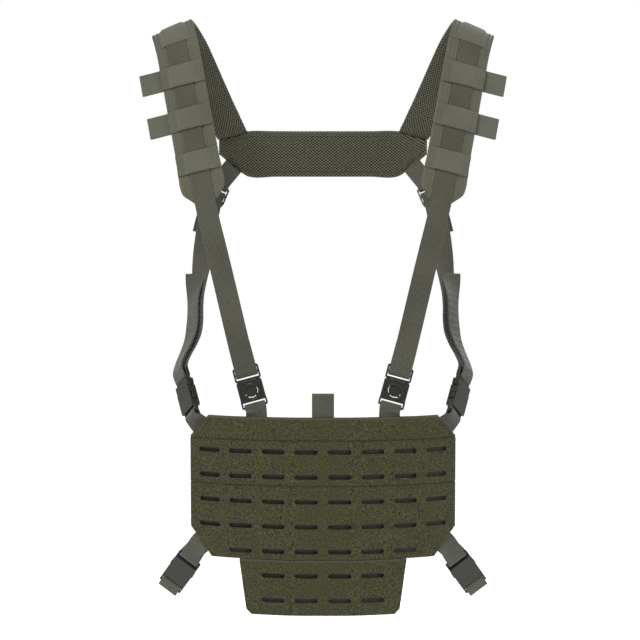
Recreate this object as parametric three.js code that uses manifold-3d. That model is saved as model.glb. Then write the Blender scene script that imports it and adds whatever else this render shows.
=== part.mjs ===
// Chest rig: two padded shoulder straps joined by a yoke, a curved slotted panel with a flap, and the clips
// and webbing between them. Millimetres, +Z up. The front faces -Y and +X is the viewer's right.
// The origin lies midway between the two places where the shoulder pads rest on the wearer.
import * as THREE from 'three';
import { mergeVertices } from 'three/addons/utils/BufferGeometryUtils.js';
import Module from 'manifold-3d';

const wasm = await Module();
wasm.setup();

// ---- driving sizes -------------------------------------------------------------------------------------
const GAP = 0.3;                 // left between pieces that touch
const WEB_WIDTH = 25;            // webbing that runs through every clip
const WEB_THICK = 1.6;
const BAND_HEIGHT = 25.4;        // cross bands on the pads
const BAND_PITCH = 53;
const BANDS = 4;

const PAD_WIDTH = 52;
const PAD_BACK_WIDTH = 38;       // where a pad meets the yoke
const PAD_TIP_WIDTH = 28;        // where the front strap leaves a pad
const MESH_THICK = 8;            // spacer mesh padding
const COVER_THICK = 1.2;         // nylon cover
const PAD_TAPER = 14;
const BACK_SLANT = 0.36;          // how far the pad's back end is cut back, as a share of the distance across
const SLANT_FROM = 26;           // the cut starts this far outside the pad's middle line
const SLANT_LENGTH = 45;

const PANEL_WIDTH = 318;         // measured round its curve
const PANEL_HEIGHT = 163;
const PANEL_TOP_Z = -441;
const PANEL_FRONT_Y = -150;
const FRONT_THICK = 1.8;         // loop-faced laminate
const BACK_THICK = 1.2;
const LAYER_GAP = 2 * WEB_THICK + 3.4 * GAP;      // room for two layers of webbing between front and back
const SLOT_PITCH = 38.1;
const SLOT_WIDTH = 26.5;
const SLOT_HEIGHT = 5;
const ROW_PITCH = 28.6;
const FIRST_ROW = 39;            // from the panel's top edge to the middle of its first slot row
const FACETS = [                 // flat strips from the middle to the edge: slot columns, and degrees turned back
  { columns: 1, turn: 0 },
  { columns: 2, turn: 11 },
  { columns: 1.2, turn: 26 },
];
const TOP_CUT = { across: 24, down: 25 };         // cut-off corners
const BOTTOM_CUT = { across: 28, down: 34 };
const FLAP_TOP_WIDTH = 194;
const FLAP_BOTTOM_WIDTH = 178;
const FLAP_HEIGHT = 64;
const FLAP_CUT = 6;
const FLAP_FIRST_ROW = 18;

const YOKE_HEIGHT = 58;
const YOKE_TOP_Z = -110;
const YOKE_BEND_X = 94;          // where the yoke turns forward to the pads
const YOKE_END_X = 128;
const YOKE_MIDDLE_Y = 106;       // front of the padding at the spine

const CLIP_WIDTH = WEB_WIDTH + 5;
const CLIP_WALL = 1.8;
const RELEASE_THICK = 10;        // side-release body
const CENTRE_THICK = 7.7;        // centre-release body
const BUTTON_RADIUS = 7.2;
const BUTTON_GAP = 1;            // room for the button to tip as it is pressed
const RING_WIDTH = 3.2;
const BAR_THICK = 3.4;

// ---- sizes that follow ---------------------------------------------------------------------------------
const PAD_TOP = MESH_THICK + GAP + COVER_THICK;                // height of the cover's face above the shoulder
const STRAP_LIFT = PAD_TOP + GAP + WEB_THICK / 2;              // middle of the strap sewn along a pad
const SLOT_ROOM = WEB_WIDTH + 4 * GAP;                         // a webbing slot in a clip
const FOLD = WEB_THICK / 2 + BAR_THICK / 2 + 2.6 * GAP;        // webbing's middle when it turns round a bar
const PANEL_BOTTOM_Z = PANEL_TOP_Z - PANEL_HEIGHT;

const colours = {
  nylon: 0x5b5a45,
  webbing: 0x5c5b4b,
  mesh: 0x3a3c2c,
  loop: 0x474529,
  backing: 0x3d3e30,
  plastic: 0x3b3b2f,
};

function material(colour, roughness) {
  return new THREE.MeshStandardMaterial({ color: colour, roughness, metalness: 0 });
}

const rig = new THREE.Group();

function add(name, geometry, colour, roughness = 0.9) {
  const mesh = new THREE.Mesh(geometry, material(colour, roughness));
  mesh.name = name;
  rig.add(mesh);
  return mesh;
}

const vec = (x, y, z) => new THREE.Vector3(x, y, z);
const sides = [['left', -1], ['right', 1]];

// ---- shape helpers -------------------------------------------------------------------------------------

// A closed slab between two grids of points. place(i, j, over) gives a point for i and j from 0 to 1.
function slab(rows, columns, place) {
  const positions = [];
  const index = [];
  const wide = columns + 1;
  const count = (rows + 1) * wide;
  for (const over of [0, 1]) {
    for (let i = 0; i <= rows; i += 1) {
      for (let j = 0; j <= columns; j += 1) {
        positions.push(...place(i / rows, j / columns, over).toArray());
      }
    }
  }
  const quad = (a, b, c, d) => index.push(a, b, c, a, c, d);
  for (let i = 0; i < rows; i += 1) {
    for (let j = 0; j < columns; j += 1) {
      const a = i * wide + j;
      quad(a, a + wide, a + wide + 1, a + 1);
      quad(count + a, count + a + 1, count + a + wide + 1, count + a + wide);
    }
  }
  for (let i = 0; i < rows; i += 1) {
    const near = i * wide;
    const far = near + columns;
    quad(near, count + near, count + near + wide, near + wide);
    quad(far, far + wide, count + far + wide, count + far);
  }
  for (let j = 0; j < columns; j += 1) {
    const last = rows * wide + j;
    quad(j, j + 1, count + j + 1, count + j);
    quad(last, count + last, count + last + 1, last + 1);
  }
  return outward(positions, index);
}

// Turns the triangles round if the closed surface faces inward, and gives it flat shading.
function outward(positions, index) {
  const at = (k) => new THREE.Vector3().fromArray(positions, 3 * k);
  let volume = 0;
  for (let k = 0; k < index.length; k += 3) {
    volume += at(index[k]).dot(at(index[k + 1]).cross(at(index[k + 2])));
  }
  const order = volume < 0 ? [0, 2, 1] : [0, 1, 2];
  const faces = [];
  for (let k = 0; k < index.length; k += 3) {
    order.forEach((corner) => faces.push(index[k + corner]));
  }
  const geometry = new THREE.BufferGeometry();
  geometry.setAttribute('position', new THREE.Float32BufferAttribute(positions, 3));
  geometry.setIndex(faces);
  const flat = geometry.toNonIndexed();
  flat.computeVertexNormals();
  return flat;
}

// Webbing along a row of stations, each with a middle point and the direction of its width.
// Long stretches between stations are rounded by more sections.
function ribbon(stations, width = WEB_WIDTH, longStretch = 14) {
  const middle = new THREE.CatmullRomCurve3(stations.map((s) => s.at), false, 'centripetal');
  const across = new THREE.CatmullRomCurve3(stations.map((s) => s.side), false, 'centripetal');
  const steps = [0];
  for (let k = 1; k < stations.length; k += 1) {
    const stretch = stations[k].at.distanceTo(stations[k - 1].at);
    const parts = stretch > longStretch ? 3 : 1;
    for (let part = 1; part <= parts; part += 1) {
      steps.push((k - 1 + part / parts) / (stations.length - 1));
    }
  }
  const sections = steps.map((t) => {
    const along = middle.getTangent(t);
    const side = across.getPoint(t);
    side.addScaledVector(along, -side.dot(along)).normalize();
    const up = new THREE.Vector3().crossVectors(side, along);
    return { at: middle.getPoint(t), side, up };
  });
  return slab(sections.length - 1, 1, (i, j, over) => {
    const section = sections[Math.round(i * (sections.length - 1))];
    const point = section.at.clone();
    point.addScaledVector(section.side, (j - 0.5) * width);
    return point.addScaledVector(section.up, (over - 0.5) * WEB_THICK);
  });
}

function toManifold(geometry) {
  const bare = new THREE.BufferGeometry();
  bare.setAttribute('position', geometry.getAttribute('position').clone());
  if (geometry.index) {
    bare.setIndex(geometry.index.clone());
  }
  const merged = mergeVertices(bare, 1e-4);
  const mesh = new wasm.Mesh({
    numProp: 3,
    vertProperties: new Float32Array(merged.getAttribute('position').array),
    triVerts: new Uint32Array(merged.index.array),
  });
  return new wasm.Manifold(mesh);
}

function fromManifold(manifold) {
  const mesh = manifold.getMesh();
  return outward(Array.from(mesh.vertProperties), Array.from(mesh.triVerts));
}

const subtractAll = (body, tools) => tools.reduce((left, tool) => left.subtract(tool), body);

// A box given by its low and high corners, in a clip's own axes.
function block(low, high) {
  const size = high.map((value, axis) => value - low[axis]);
  const box = new THREE.BoxGeometry(...size);
  box.translate(low[0] + size[0] / 2, low[1] + size[1] / 2, low[2] + size[2] / 2);
  return toManifold(box);
}

function outline(points) {
  return new THREE.Shape(points.map(([x, y]) => new THREE.Vector2(x, y)));
}

// A flat shape in a clip's own axes, from one height to another.
function plate(points, low, high) {
  const geometry = new THREE.ExtrudeGeometry(outline(points), { depth: high - low, bevelEnabled: false });
  geometry.translate(0, 0, low);
  return toManifold(geometry);
}

function disc(radius, low, high, segments = 28) {
  const geometry = new THREE.CylinderGeometry(radius, radius, high - low, segments);
  geometry.rotateX(Math.PI / 2);
  geometry.translate(0, 0, (low + high) / 2);
  return toManifold(geometry);
}

// A rectangle with its corners cut off, from low to high along the clip.
function cutRectangle(halfWidth, low, high, cut) {
  return [
    [-halfWidth + cut, low], [halfWidth - cut, low], [halfWidth, low + cut], [halfWidth, high - cut],
    [halfWidth - cut, high], [-halfWidth + cut, high], [-halfWidth, high - cut], [-halfWidth, low + cut],
  ];
}

// A clip's own axes: x across it, y along it and z out of its face. The clip is placed by this matrix.
function clipFrame(origin, along, face) {
  const y = along.clone().normalize();
  const z = face.clone().addScaledVector(y, -face.dot(y)).normalize();
  const x = new THREE.Vector3().crossVectors(y, z);
  return new THREE.Matrix4().makeBasis(x, y, z).setPosition(origin);
}

function placed(name, manifold, frame, colour = colours.plastic, roughness = 0.45) {
  const mesh = add(name, fromManifold(manifold), colour, roughness);
  frame.decompose(mesh.position, mesh.quaternion, mesh.scale);
  return mesh;
}

// A station of webbing in a clip's own axes.
function inClip(frame, along, out) {
  return {
    at: vec(0, along, out).applyMatrix4(frame),
    side: new THREE.Vector3().setFromMatrixColumn(frame, 0),
  };
}

// Webbing that turns round a bar at barAt, coming in at height +FOLD and leaving at -FOLD.
// way is -1 when the turn bulges down the clip and +1 when it bulges up it.
function turn(frame, barAt, way, start = 1) {
  const stations = [];
  for (let k = 0; k <= 6; k += 1) {
    const angle = (Math.PI * k) / 6;
    stations.push(inClip(frame, barAt + way * FOLD * Math.sin(angle), start * FOLD * Math.cos(angle)));
  }
  return stations;
}

// ---- shoulder pads -------------------------------------------------------------------------------------

// Middle of a right-hand pad's underside from the yoke, over the shoulder and down the chest, with the
// direction that points to its outer edge at each place.
const padKnots = [
  { at: vec(108, YOKE_MIDDLE_Y - 7.5, YOKE_TOP_Z - 13.9), side: vec(0.9, -0.32, -0.29) },
  { at: vec(134, 78, -76), side: vec(0.9, -0.24, -0.37) },
  { at: vec(153, 53, -40), side: vec(0.92, -0.14, -0.37) },
  { at: vec(168, 26, -12), side: vec(0.92, -0.05, -0.39) },
  { at: vec(177, 0, 0), side: vec(0.92, 0.02, -0.39) },
  { at: vec(174, -14, -7), side: vec(0.93, 0.1, -0.34) },
  { at: vec(169, -23, -25), side: vec(0.95, 0.16, -0.24) },
  { at: vec(160, -35, -70), side: vec(0.965, 0.2, -0.17) },
  { at: vec(150, -48, -121), side: vec(0.965, 0.2, -0.17) },
  { at: vec(140, -61, -172), side: vec(0.965, 0.2, -0.17) },
  { at: vec(135, -68, -198), side: vec(0.965, 0.2, -0.17) },
];
const CREST_KNOT = 4;
const padCurve = new THREE.CatmullRomCurve3(padKnots.map((knot) => knot.at), false, 'centripetal');
const padSides = new THREE.CatmullRomCurve3(padKnots.map((knot) => knot.side), false, 'centripetal');
const CURVE_STEPS = 400;
const padLengths = padCurve.getLengths(CURVE_STEPS);
const PAD_LENGTH = padLengths[CURVE_STEPS];
const PAD_BACK = padLengths[Math.round((CURVE_STEPS * CREST_KNOT) / (padKnots.length - 1))];
const PAD_FRONT = PAD_LENGTH - PAD_BACK;

// A pad's own axes at a distance from the crest: positive down the chest, negative toward the yoke.
function padFrame(hand, distance) {
  const t = padCurve.getUtoTmapping((PAD_BACK + distance) / PAD_LENGTH);
  const along = padCurve.getTangent(t);
  const side = padSides.getPoint(t);
  side.addScaledVector(along, -side.dot(along)).normalize();
  const up = new THREE.Vector3().crossVectors(along, side);
  const flip = vec(hand, 1, 1);
  return {
    at: padCurve.getPoint(t).multiply(flip),
    side: side.multiply(flip),
    up: up.multiply(flip),
    along: along.multiply(flip),
  };
}

function onPad(hand, distance, across, height) {
  // The back end is cut at a slant, to meet the slope of the yoke's top edge.
  const slant = BACK_SLANT * Math.max(0, 1 - (PAD_BACK + distance) / SLANT_LENGTH);
  const frame = padFrame(hand, distance + slant * (across + SLANT_FROM));
  return frame.at.addScaledVector(frame.side, across).addScaledVector(frame.up, height);
}

function padHalfWidth(distance) {
  const taper = PAD_FRONT - distance;
  if (taper < PAD_TAPER) {
    return THREE.MathUtils.lerp(PAD_TIP_WIDTH, PAD_WIDTH, taper / PAD_TAPER) / 2;
  }
  const back = Math.min(1, Math.max(0, (PAD_BACK + distance) / (PAD_BACK * 0.7)));
  return THREE.MathUtils.lerp(PAD_BACK_WIDTH, PAD_WIDTH, back) / 2;
}

const CREST_STEPS = [8, 16, BAND_HEIGHT];         // sections that follow the shoulder's curve

// Distances along a pad where it gets a section: close over the crest, and at the start of its taper.
const padSections = [];
for (let k = 0; k <= 7; k += 1) {
  padSections.push(-PAD_BACK * (1 - k / 8));
}
padSections.push(-10, 0, ...CREST_STEPS, 35);
for (let k = 1; k <= 5; k += 1) {
  padSections.push(THREE.MathUtils.lerp(35, PAD_FRONT - PAD_TAPER, k / 5));
}
padSections.push(PAD_FRONT);

function padLayer(hand, low, high, inset) {
  return slab(padSections.length - 1, 2, (i, j, over) => {
    const distance = padSections[Math.round(i * (padSections.length - 1))];
    const across = (2 * j - 1) * (padHalfWidth(distance) - inset);
    return onPad(hand, distance, across, over ? high : low);
  });
}

const bandStart = (band) => band * BAND_PITCH;

// A cross band lies on the pad at both edges and steps up over the strap sewn along the middle.
function crossBand(hand, band) {
  const half = PAD_WIDTH / 2;
  const strapEdge = WEB_WIDTH / 2 + 1;
  const low = PAD_TOP + GAP;
  const high = low + WEB_THICK + GAP;
  const profile = [
    [-half, low], [-strapEdge - 3.5, low], [-strapEdge, high], [strapEdge, high],
    [strapEdge + 3.5, low], [half, low],
  ];
  const rows = band === 0 ? [0.5, ...CREST_STEPS] : [0, BAND_HEIGHT / 2, BAND_HEIGHT];
  return slab(rows.length - 1, profile.length - 1, (i, j, over) => {
    const [across, height] = profile[Math.round(j * (profile.length - 1))];
    const distance = bandStart(band) + rows[Math.round(i * (rows.length - 1))];
    return onPad(hand, distance, across, height + over * WEB_THICK);
  });
}

// A side tab is webbing folded on itself, sewn to a pad's outer edge level with a cross band.
const TAB_REACH = 26;
function sideTab(hand, band) {
  const frame = padFrame(hand, bandStart(band) + BAND_HEIGHT / 2);
  const leg = WEB_THICK / 2 + GAP / 2;
  const stations = [];
  const put = (out, height) => {
    const at = frame.at.clone().addScaledVector(frame.side, PAD_WIDTH / 2 + GAP + out);
    stations.push({ at: at.addScaledVector(frame.up, PAD_TOP - 3 + height), side: frame.along });
  };
  put(GAP, -leg);
  put(TAB_REACH - leg, -leg);
  put(TAB_REACH - leg * 0.3, -leg * 0.7);
  put(TAB_REACH, 0);
  put(TAB_REACH - leg * 0.3, leg * 0.7);
  put(TAB_REACH - leg, leg);
  put(GAP, leg);
  return ribbon(stations, BAND_HEIGHT, TAB_REACH * 2);
}

for (const [name, hand] of sides) {
  add(`pad_mesh_${name}`, padLayer(hand, 0, MESH_THICK, 0), colours.mesh);
  add(`pad_cover_${name}`, padLayer(hand, MESH_THICK + GAP, PAD_TOP, 0), colours.nylon);
  for (let band = 0; band < BANDS; band += 1) {
    add(`cross_band_${name}_${band + 1}`, crossBand(hand, band), colours.webbing);
  }
  add(`side_tab_${name}_upper`, sideTab(hand, 1), colours.webbing);
  add(`side_tab_${name}_lower`, sideTab(hand, 2), colours.webbing);
}

// ---- yoke ----------------------------------------------------------------------------------------------

const PAD_END_DROP = 11;         // the pad's end slopes down toward its outer edge
const YOKE_EDGE_SLOPE = 0.2;     // its top edge rises toward the outside, as the pads' ends do

function yokeFront(x) {
  const bend = Math.abs(x) - YOKE_BEND_X;
  const middle = YOKE_MIDDLE_Y - 4 * (x / YOKE_BEND_X) ** 2;
  return bend > 0 ? YOKE_MIDDLE_Y - 4 - 0.36 * bend : middle;
}

function yokeTop(x) {
  const bend = Math.max(0, Math.abs(x) - YOKE_BEND_X) / (YOKE_END_X - YOKE_BEND_X);
  return YOKE_TOP_Z - PAD_END_DROP * bend - 2;
}

function yokeBottom(x) {
  const bend = Math.max(0, Math.abs(x) - YOKE_BEND_X) / (YOKE_END_X - YOKE_BEND_X);
  return YOKE_TOP_Z - YOKE_HEIGHT + 28 * bend;
}

const yokeStations = [-YOKE_END_X, -(YOKE_BEND_X + YOKE_END_X) / 2, -YOKE_BEND_X, -60, -20];
const yokeX = [...yokeStations, ...yokeStations.map((x) => -x).reverse()];

function yokeLayer(near, far) {
  return slab(yokeX.length - 1, 2, (i, j, over) => {
    const x = yokeX[Math.round(i * (yokeX.length - 1))];
    const turned = Math.abs(x) > YOKE_BEND_X ? 0.34 * Math.sign(x) : 0;
    const depth = over ? far : near;
    const z = THREE.MathUtils.lerp(yokeBottom(x), yokeTop(x) + YOKE_EDGE_SLOPE * depth, j);
    return vec(x + turned * depth, yokeFront(x) + depth, z);
  });
}

add('yoke_mesh', yokeLayer(0, MESH_THICK), colours.mesh);
add('yoke_cover', yokeLayer(MESH_THICK + GAP, PAD_TOP), colours.nylon);

// ---- slotted panel and flap ----------------------------------------------------------------------------

// Where each flat strip of the panel starts and ends, measured round the curve, and how far it is turned.
const strips = [];
let reached = 0;
FACETS.forEach(({ columns, turn: degrees }, k) => {
  const last = k === FACETS.length - 1;
  const end = last ? PANEL_WIDTH / 2 : reached + columns * SLOT_PITCH;
  strips.push({ start: reached, end, angle: THREE.MathUtils.degToRad(degrees) });
  reached = end;
});

// Corners of the panel's bent front line, from its middle to its right-hand edge.
const bend = [vec(0, PANEL_FRONT_Y, 0)];
strips.forEach(({ start, end, angle }, k) => {
  const step = vec(Math.cos(angle), Math.sin(angle), 0).multiplyScalar(end - start);
  bend.push(bend[k].clone().add(step));
});

// The bent line moved back by a depth, with its corners mitred.
function bentLineAt(depth) {
  return bend.map((corner, k) => {
    const before = strips[Math.max(0, k - 1)].angle;
    const after = strips[Math.min(k, strips.length - 1)].angle;
    const angle = (before + after) / 2;
    const reach = depth / Math.cos((after - before) / 2);
    return vec(corner.x - Math.sin(angle) * reach, corner.y + Math.cos(angle) * reach, 0);
  });
}

// A place on the panel at a distance round the curve and a depth behind its face. along points to the
// nearer side edge and out points out of the face.
function onPanel(around, z, depth) {
  const hand = Math.sign(around) || 1;
  const far = Math.abs(around);
  const k = Math.max(0, strips.findLastIndex(({ start }) => far >= start));
  const { start, angle } = strips[k];
  const along = vec(Math.cos(angle), Math.sin(angle), 0);
  const out = vec(Math.sin(angle), -Math.cos(angle), 0);
  const point = bend[k].clone().addScaledVector(along, far - start).addScaledVector(out, -depth);
  return {
    at: vec(hand * point.x, point.y, z),
    out: vec(hand * out.x, out.y, 0),
    along: vec(hand * along.x, along.y, 0),
    angle: hand * angle,
  };
}

// A bent sheet between two depths, cut to an outline that is drawn flat: x round the curve and y as z.
function bentSheet(near, far, halfWidths) {
  const front = bentLineAt(near);
  const back = bentLineAt(far);
  const left = (line) => line.slice(1).map((p) => [-p.x, p.y]).reverse();
  const right = (line) => line.map((p) => [p.x, p.y]);
  const ring = [...left(front), ...right(front), ...[...left(back), ...right(back)].reverse()];
  const low = Math.min(...halfWidths.map(([, z]) => z));
  const high = Math.max(...halfWidths.map(([, z]) => z));
  const wall = new THREE.ExtrudeGeometry(outline(ring), { depth: high - low, bevelEnabled: false });
  wall.translate(0, 0, low);
  const flat = halfWidths.map(([around, z]) => [onPanel(around, z, 0).at.x, z]);
  const mirrored = flat.map(([x, z]) => [-x, z]).reverse();
  const window = new THREE.ExtrudeGeometry(outline([...flat, ...mirrored]), { depth: 300, bevelEnabled: false });
  window.rotateX(Math.PI / 2);
  window.translate(0, PANEL_FRONT_Y + 200, 0);
  return toManifold(wall).intersect(toManifold(window));
}

// A slot with round ends through the front sheet, square to the facet that it is in.
function slotCutter(around, z) {
  const half = SLOT_WIDTH / 2 - SLOT_HEIGHT / 2;
  const shape = new THREE.Shape();
  shape.absarc(half, 0, SLOT_HEIGHT / 2, -Math.PI / 2, Math.PI / 2, false);
  shape.absarc(-half, 0, SLOT_HEIGHT / 2, Math.PI / 2, 1.5 * Math.PI, false);
  const reach = LAYER_GAP;
  const geometry = new THREE.ExtrudeGeometry(shape, { depth: reach, bevelEnabled: false, curveSegments: 4 });
  geometry.translate(0, 0, -reach / 2);
  geometry.rotateX(Math.PI / 2);
  const seat = onPanel(around, z, FRONT_THICK / 2);
  geometry.rotateZ(seat.angle);
  geometry.translate(seat.at.x, seat.at.y, seat.at.z);
  return toManifold(geometry);
}

function slotRow(z, columns) {
  const cutters = [];
  for (let k = 0; k < columns; k += 1) {
    cutters.push(slotCutter((k - (columns - 1) / 2) * SLOT_PITCH, z));
  }
  return cutters;
}

const half = PANEL_WIDTH / 2;
const panelOutline = [
  [half - BOTTOM_CUT.across, PANEL_BOTTOM_Z], [half, PANEL_BOTTOM_Z + BOTTOM_CUT.down],
  [half, PANEL_TOP_Z - TOP_CUT.down], [half - TOP_CUT.across, PANEL_TOP_Z],
];
const panelRows = [8, 8, 8, 8, 6].flatMap((columns, row) => (
  slotRow(PANEL_TOP_Z - FIRST_ROW - row * ROW_PITCH, columns)));
const panelFront = bentSheet(0, FRONT_THICK, panelOutline);
add('panel_front', fromManifold(subtractAll(panelFront, panelRows)), colours.loop, 1);
const BACK_NEAR = FRONT_THICK + LAYER_GAP;
const BACK_FAR = BACK_NEAR + BACK_THICK;
add('panel_back', fromManifold(bentSheet(BACK_NEAR, BACK_FAR, panelOutline)), colours.backing);

const FLAP_TOP_Z = PANEL_BOTTOM_Z - GAP;
const FLAP_BOTTOM_Z = FLAP_TOP_Z - FLAP_HEIGHT;
const flapOutline = [
  [FLAP_BOTTOM_WIDTH / 2 - FLAP_CUT, FLAP_BOTTOM_Z], [FLAP_BOTTOM_WIDTH / 2, FLAP_BOTTOM_Z + FLAP_CUT],
  [FLAP_TOP_WIDTH / 2, FLAP_TOP_Z],
];
const flapRows = [0, 1].flatMap((row) => slotRow(FLAP_TOP_Z - FLAP_FIRST_ROW - row * ROW_PITCH, 4));
const flapFront = bentSheet(0, FRONT_THICK, flapOutline);
add('flap_front', fromManifold(subtractAll(flapFront, flapRows)), colours.loop, 1);
add('flap_back', fromManifold(bentSheet(BACK_NEAR, BACK_FAR, flapOutline)), colours.backing);

// The pull tab is a loop of webbing sewn in between the panel's two layers at the middle of its top edge.
const TAB_HEIGHT = 27;
const TAB_ROOT = 14;
const LEG = WEB_THICK / 2 + GAP / 2;
function pullTab() {
  const middle = PANEL_FRONT_Y + FRONT_THICK + LAYER_GAP / 2;
  const side = vec(1, 0, 0);
  const top = PANEL_TOP_Z + TAB_HEIGHT;
  const spread = 4;
  const path = [
    [-LEG, PANEL_TOP_Z - TAB_ROOT], [-LEG, PANEL_TOP_Z], [-spread * 0.7, PANEL_TOP_Z + TAB_HEIGHT / 2],
    [-spread, top - spread], [-spread * 0.7, top - spread * 0.3], [0, top], [spread * 0.7, top - spread * 0.3],
    [spread, top - spread], [spread * 0.7, PANEL_TOP_Z + TAB_HEIGHT / 2], [LEG, PANEL_TOP_Z],
    [LEG, PANEL_TOP_Z - TAB_ROOT],
  ];
  return ribbon(path.map(([y, z]) => ({ at: vec(0, middle + y, z), side })));
}
add('pull_tab', pullTab(), colours.webbing);

// ---- side-release clips --------------------------------------------------------------------------------

const CLIP_HALF = CLIP_WIDTH / 2;
const MOUTH = 5;                       // the two halves meet here, along the clip
const CAVITY_HALF = CLIP_HALF - CLIP_WALL;
const CAVITY_DEEP = 24;
const CAVITY_HIGH = RELEASE_THICK / 2 - CLIP_WALL;
const ARM_HIGH = CAVITY_HIGH - 0.7;
const WINDOW = { low: MOUTH - 19.2, high: MOUTH - 9.4 };
const SOCKET_BAR = MOUTH - 32.5;       // middle of the bar that holds the sewn webbing
const PLUG_BAR = MOUTH + 14.75;        // middle of the bar that the adjustable webbing turns round
const BAR_LENGTH = 2.6;
const SLOT_LENGTH = 4.4;

function socketHalf() {
  const barLow = SOCKET_BAR - BAR_LENGTH / 2;
  const slotLow = SOCKET_BAR + BAR_LENGTH / 2;
  const slotHigh = slotLow + SLOT_LENGTH;
  const body = plate(cutRectangle(CLIP_HALF, slotHigh, MOUTH, 1.2), -RELEASE_THICK / 2, RELEASE_THICK / 2);
  const bar = plate(cutRectangle(CLIP_HALF, barLow, MOUTH - 8, 1.2), -BAR_THICK / 2, BAR_THICK / 2);
  return subtractAll(body.add(bar), [
    block([-SLOT_ROOM / 2, slotLow, -9], [SLOT_ROOM / 2, slotHigh, 9]),
    block([-CAVITY_HALF, MOUTH - CAVITY_DEEP, -CAVITY_HIGH], [CAVITY_HALF, MOUTH + 1, CAVITY_HIGH]),
    block([-CLIP_HALF - 1, WINDOW.low, -CAVITY_HIGH], [CLIP_HALF + 1, WINDOW.high, CAVITY_HIGH]),
  ]);
}

const PLUG_NEAR = MOUTH + GAP;
const PLUG_FAR = PLUG_BAR + BAR_LENGTH / 2 + SLOT_LENGTH + BAR_LENGTH;
function plugHalf() {
  const shoulder = plate(
    cutRectangle(CLIP_HALF, PLUG_NEAR, PLUG_BAR - BAR_LENGTH / 2 - SLOT_LENGTH, 1), -RELEASE_THICK / 2 + 0.4,
    RELEASE_THICK / 2 - 0.4);
  const ladder = plate(cutRectangle(CLIP_HALF, PLUG_NEAR, PLUG_FAR, 1.2), -BAR_THICK / 2, BAR_THICK / 2);
  const guide = block([-2, PLUG_NEAR - 19, -ARM_HIGH], [2, PLUG_NEAR + 1, ARM_HIGH]);
  const slot = (low) => block([-SLOT_ROOM / 2, low, -9], [SLOT_ROOM / 2, low + SLOT_LENGTH, 9]);
  const slots = [slot(PLUG_BAR - BAR_LENGTH / 2 - SLOT_LENGTH), slot(PLUG_BAR + BAR_LENGTH / 2)];
  return subtractAll(shoulder.add(ladder).add(guide), slots);
}

// A spring arm: narrow at its root by the mouth, with a head that stands out through the socket's window.
const ARM_ROOT = 10;
function springArm(hand) {
  const reach = WINDOW.high - 0.5;
  const points = [
    [ARM_ROOT - 1, MOUTH], [ARM_ROOT + 1, MOUTH], [ARM_ROOT + 1.8, MOUTH - 3], [ARM_ROOT + 1.9, reach],
    [CLIP_HALF + 0.9, reach - 0.6], [CLIP_HALF + 0.4, WINDOW.low + 2.4], [CAVITY_HALF - 0.5, WINDOW.low + 0.6],
    [ARM_ROOT + 1.9, MOUTH - 20.5],
    [ARM_ROOT - 0.4, MOUTH - 20.5], [ARM_ROOT - 0.7, MOUTH - 10], [ARM_ROOT - 1, MOUTH - 3],
  ];
  return plate(points.map(([x, y]) => [hand * x, y]), -ARM_HIGH, ARM_HIGH);
}

// Places a whole clip. Its socket is sewn to the panel and its plug carries the strap.
function releaseClip(name, frame) {
  placed(`${name}_socket`, socketHalf(), frame);
  placed(`${name}_plug`, plugHalf(), frame);
  placed(`${name}_arm_a`, springArm(-1), frame);
  placed(`${name}_arm_b`, springArm(1), frame);
}

// Middles of the cut-off corners, round the panel's curve, where the loops of the corner clips are sewn in.
const TOP_CORNER = { around: half - TOP_CUT.across / 2, z: PANEL_TOP_Z - TOP_CUT.down / 2 };
const BOTTOM_CORNER = { around: half - BOTTOM_CUT.across / 2, z: PANEL_BOTTOM_Z + BOTTOM_CUT.down / 2 };

// A place given by how far it is to the side of a seam on the panel, behind it and above it.
function fromSeam(hand, around, z, away) {
  return onPanel(hand * around, z, 0).at.add(vec(hand * away[0], away[1], away[2]));
}

const topClipFrame = (hand) => clipFrame(
  fromSeam(hand, TOP_CORNER.around, TOP_CORNER.z, [15.2, 18.6, 34.5]),
  vec(hand * 0.27, 0.5, 0.82), vec(hand * 0.85, -0.52, 0.05));
const bottomClipFrame = (hand) => clipFrame(
  fromSeam(hand, BOTTOM_CORNER.around, BOTTOM_CORNER.z, [27.5, 33, -44]),
  vec(hand * 0.47, 0.53, -0.71), vec(hand * 0.1, -1, 0));

// ---- centre-release clips ------------------------------------------------------------------------------

const HOUSING_TOP = 11.8;
const BODY_BACK = -4.2;
const BODY_FACE = BODY_BACK + CENTRE_THICK;
const RING_FACE = BODY_FACE + 1.7;
const TONGUE_HIGH = 1.6;
const CENTRE_SOCKET_BAR = -18;
const CENTRE_LADDER_BAR = 20.1;
const BUTTON_HOLE = BUTTON_RADIUS + BUTTON_GAP;
const FINGER_HALF = 6.3;
const FRONT_LOOP_AROUND = 77;    // measured round the panel's curve

function centreHousing() {
  const slotLow = CENTRE_SOCKET_BAR + BAR_LENGTH / 2;
  const slotHigh = slotLow + SLOT_LENGTH;
  const body = plate(cutRectangle(CLIP_HALF - 0.5, slotHigh, HOUSING_TOP, 1.5), BODY_BACK, BODY_FACE);
  const foot = plate(
    cutRectangle(CLIP_HALF, CENTRE_SOCKET_BAR - BAR_LENGTH / 2, slotHigh + 3, 1.5), -BAR_THICK / 2, BAR_THICK / 2);
  const ring = disc(BUTTON_HOLE + RING_WIDTH, 0, RING_FACE);
  const rails = CLIP_HALF - 0.5 - 3;
  return subtractAll(body.add(foot).add(ring), [
    block([-SLOT_ROOM / 2, slotLow, -9], [SLOT_ROOM / 2, slotHigh, 9]),
    block([-rails, -11, -TONGUE_HIGH - GAP], [rails, HOUSING_TOP + 2, TONGUE_HIGH + GAP]),
    block([-FINGER_HALF - 1.4, -9.5, BODY_BACK - 1], [FINGER_HALF + 1.4, HOUSING_TOP + 2, 0]),
    disc(BUTTON_HOLE, 0, RING_FACE + 1),
  ]);
}

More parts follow.
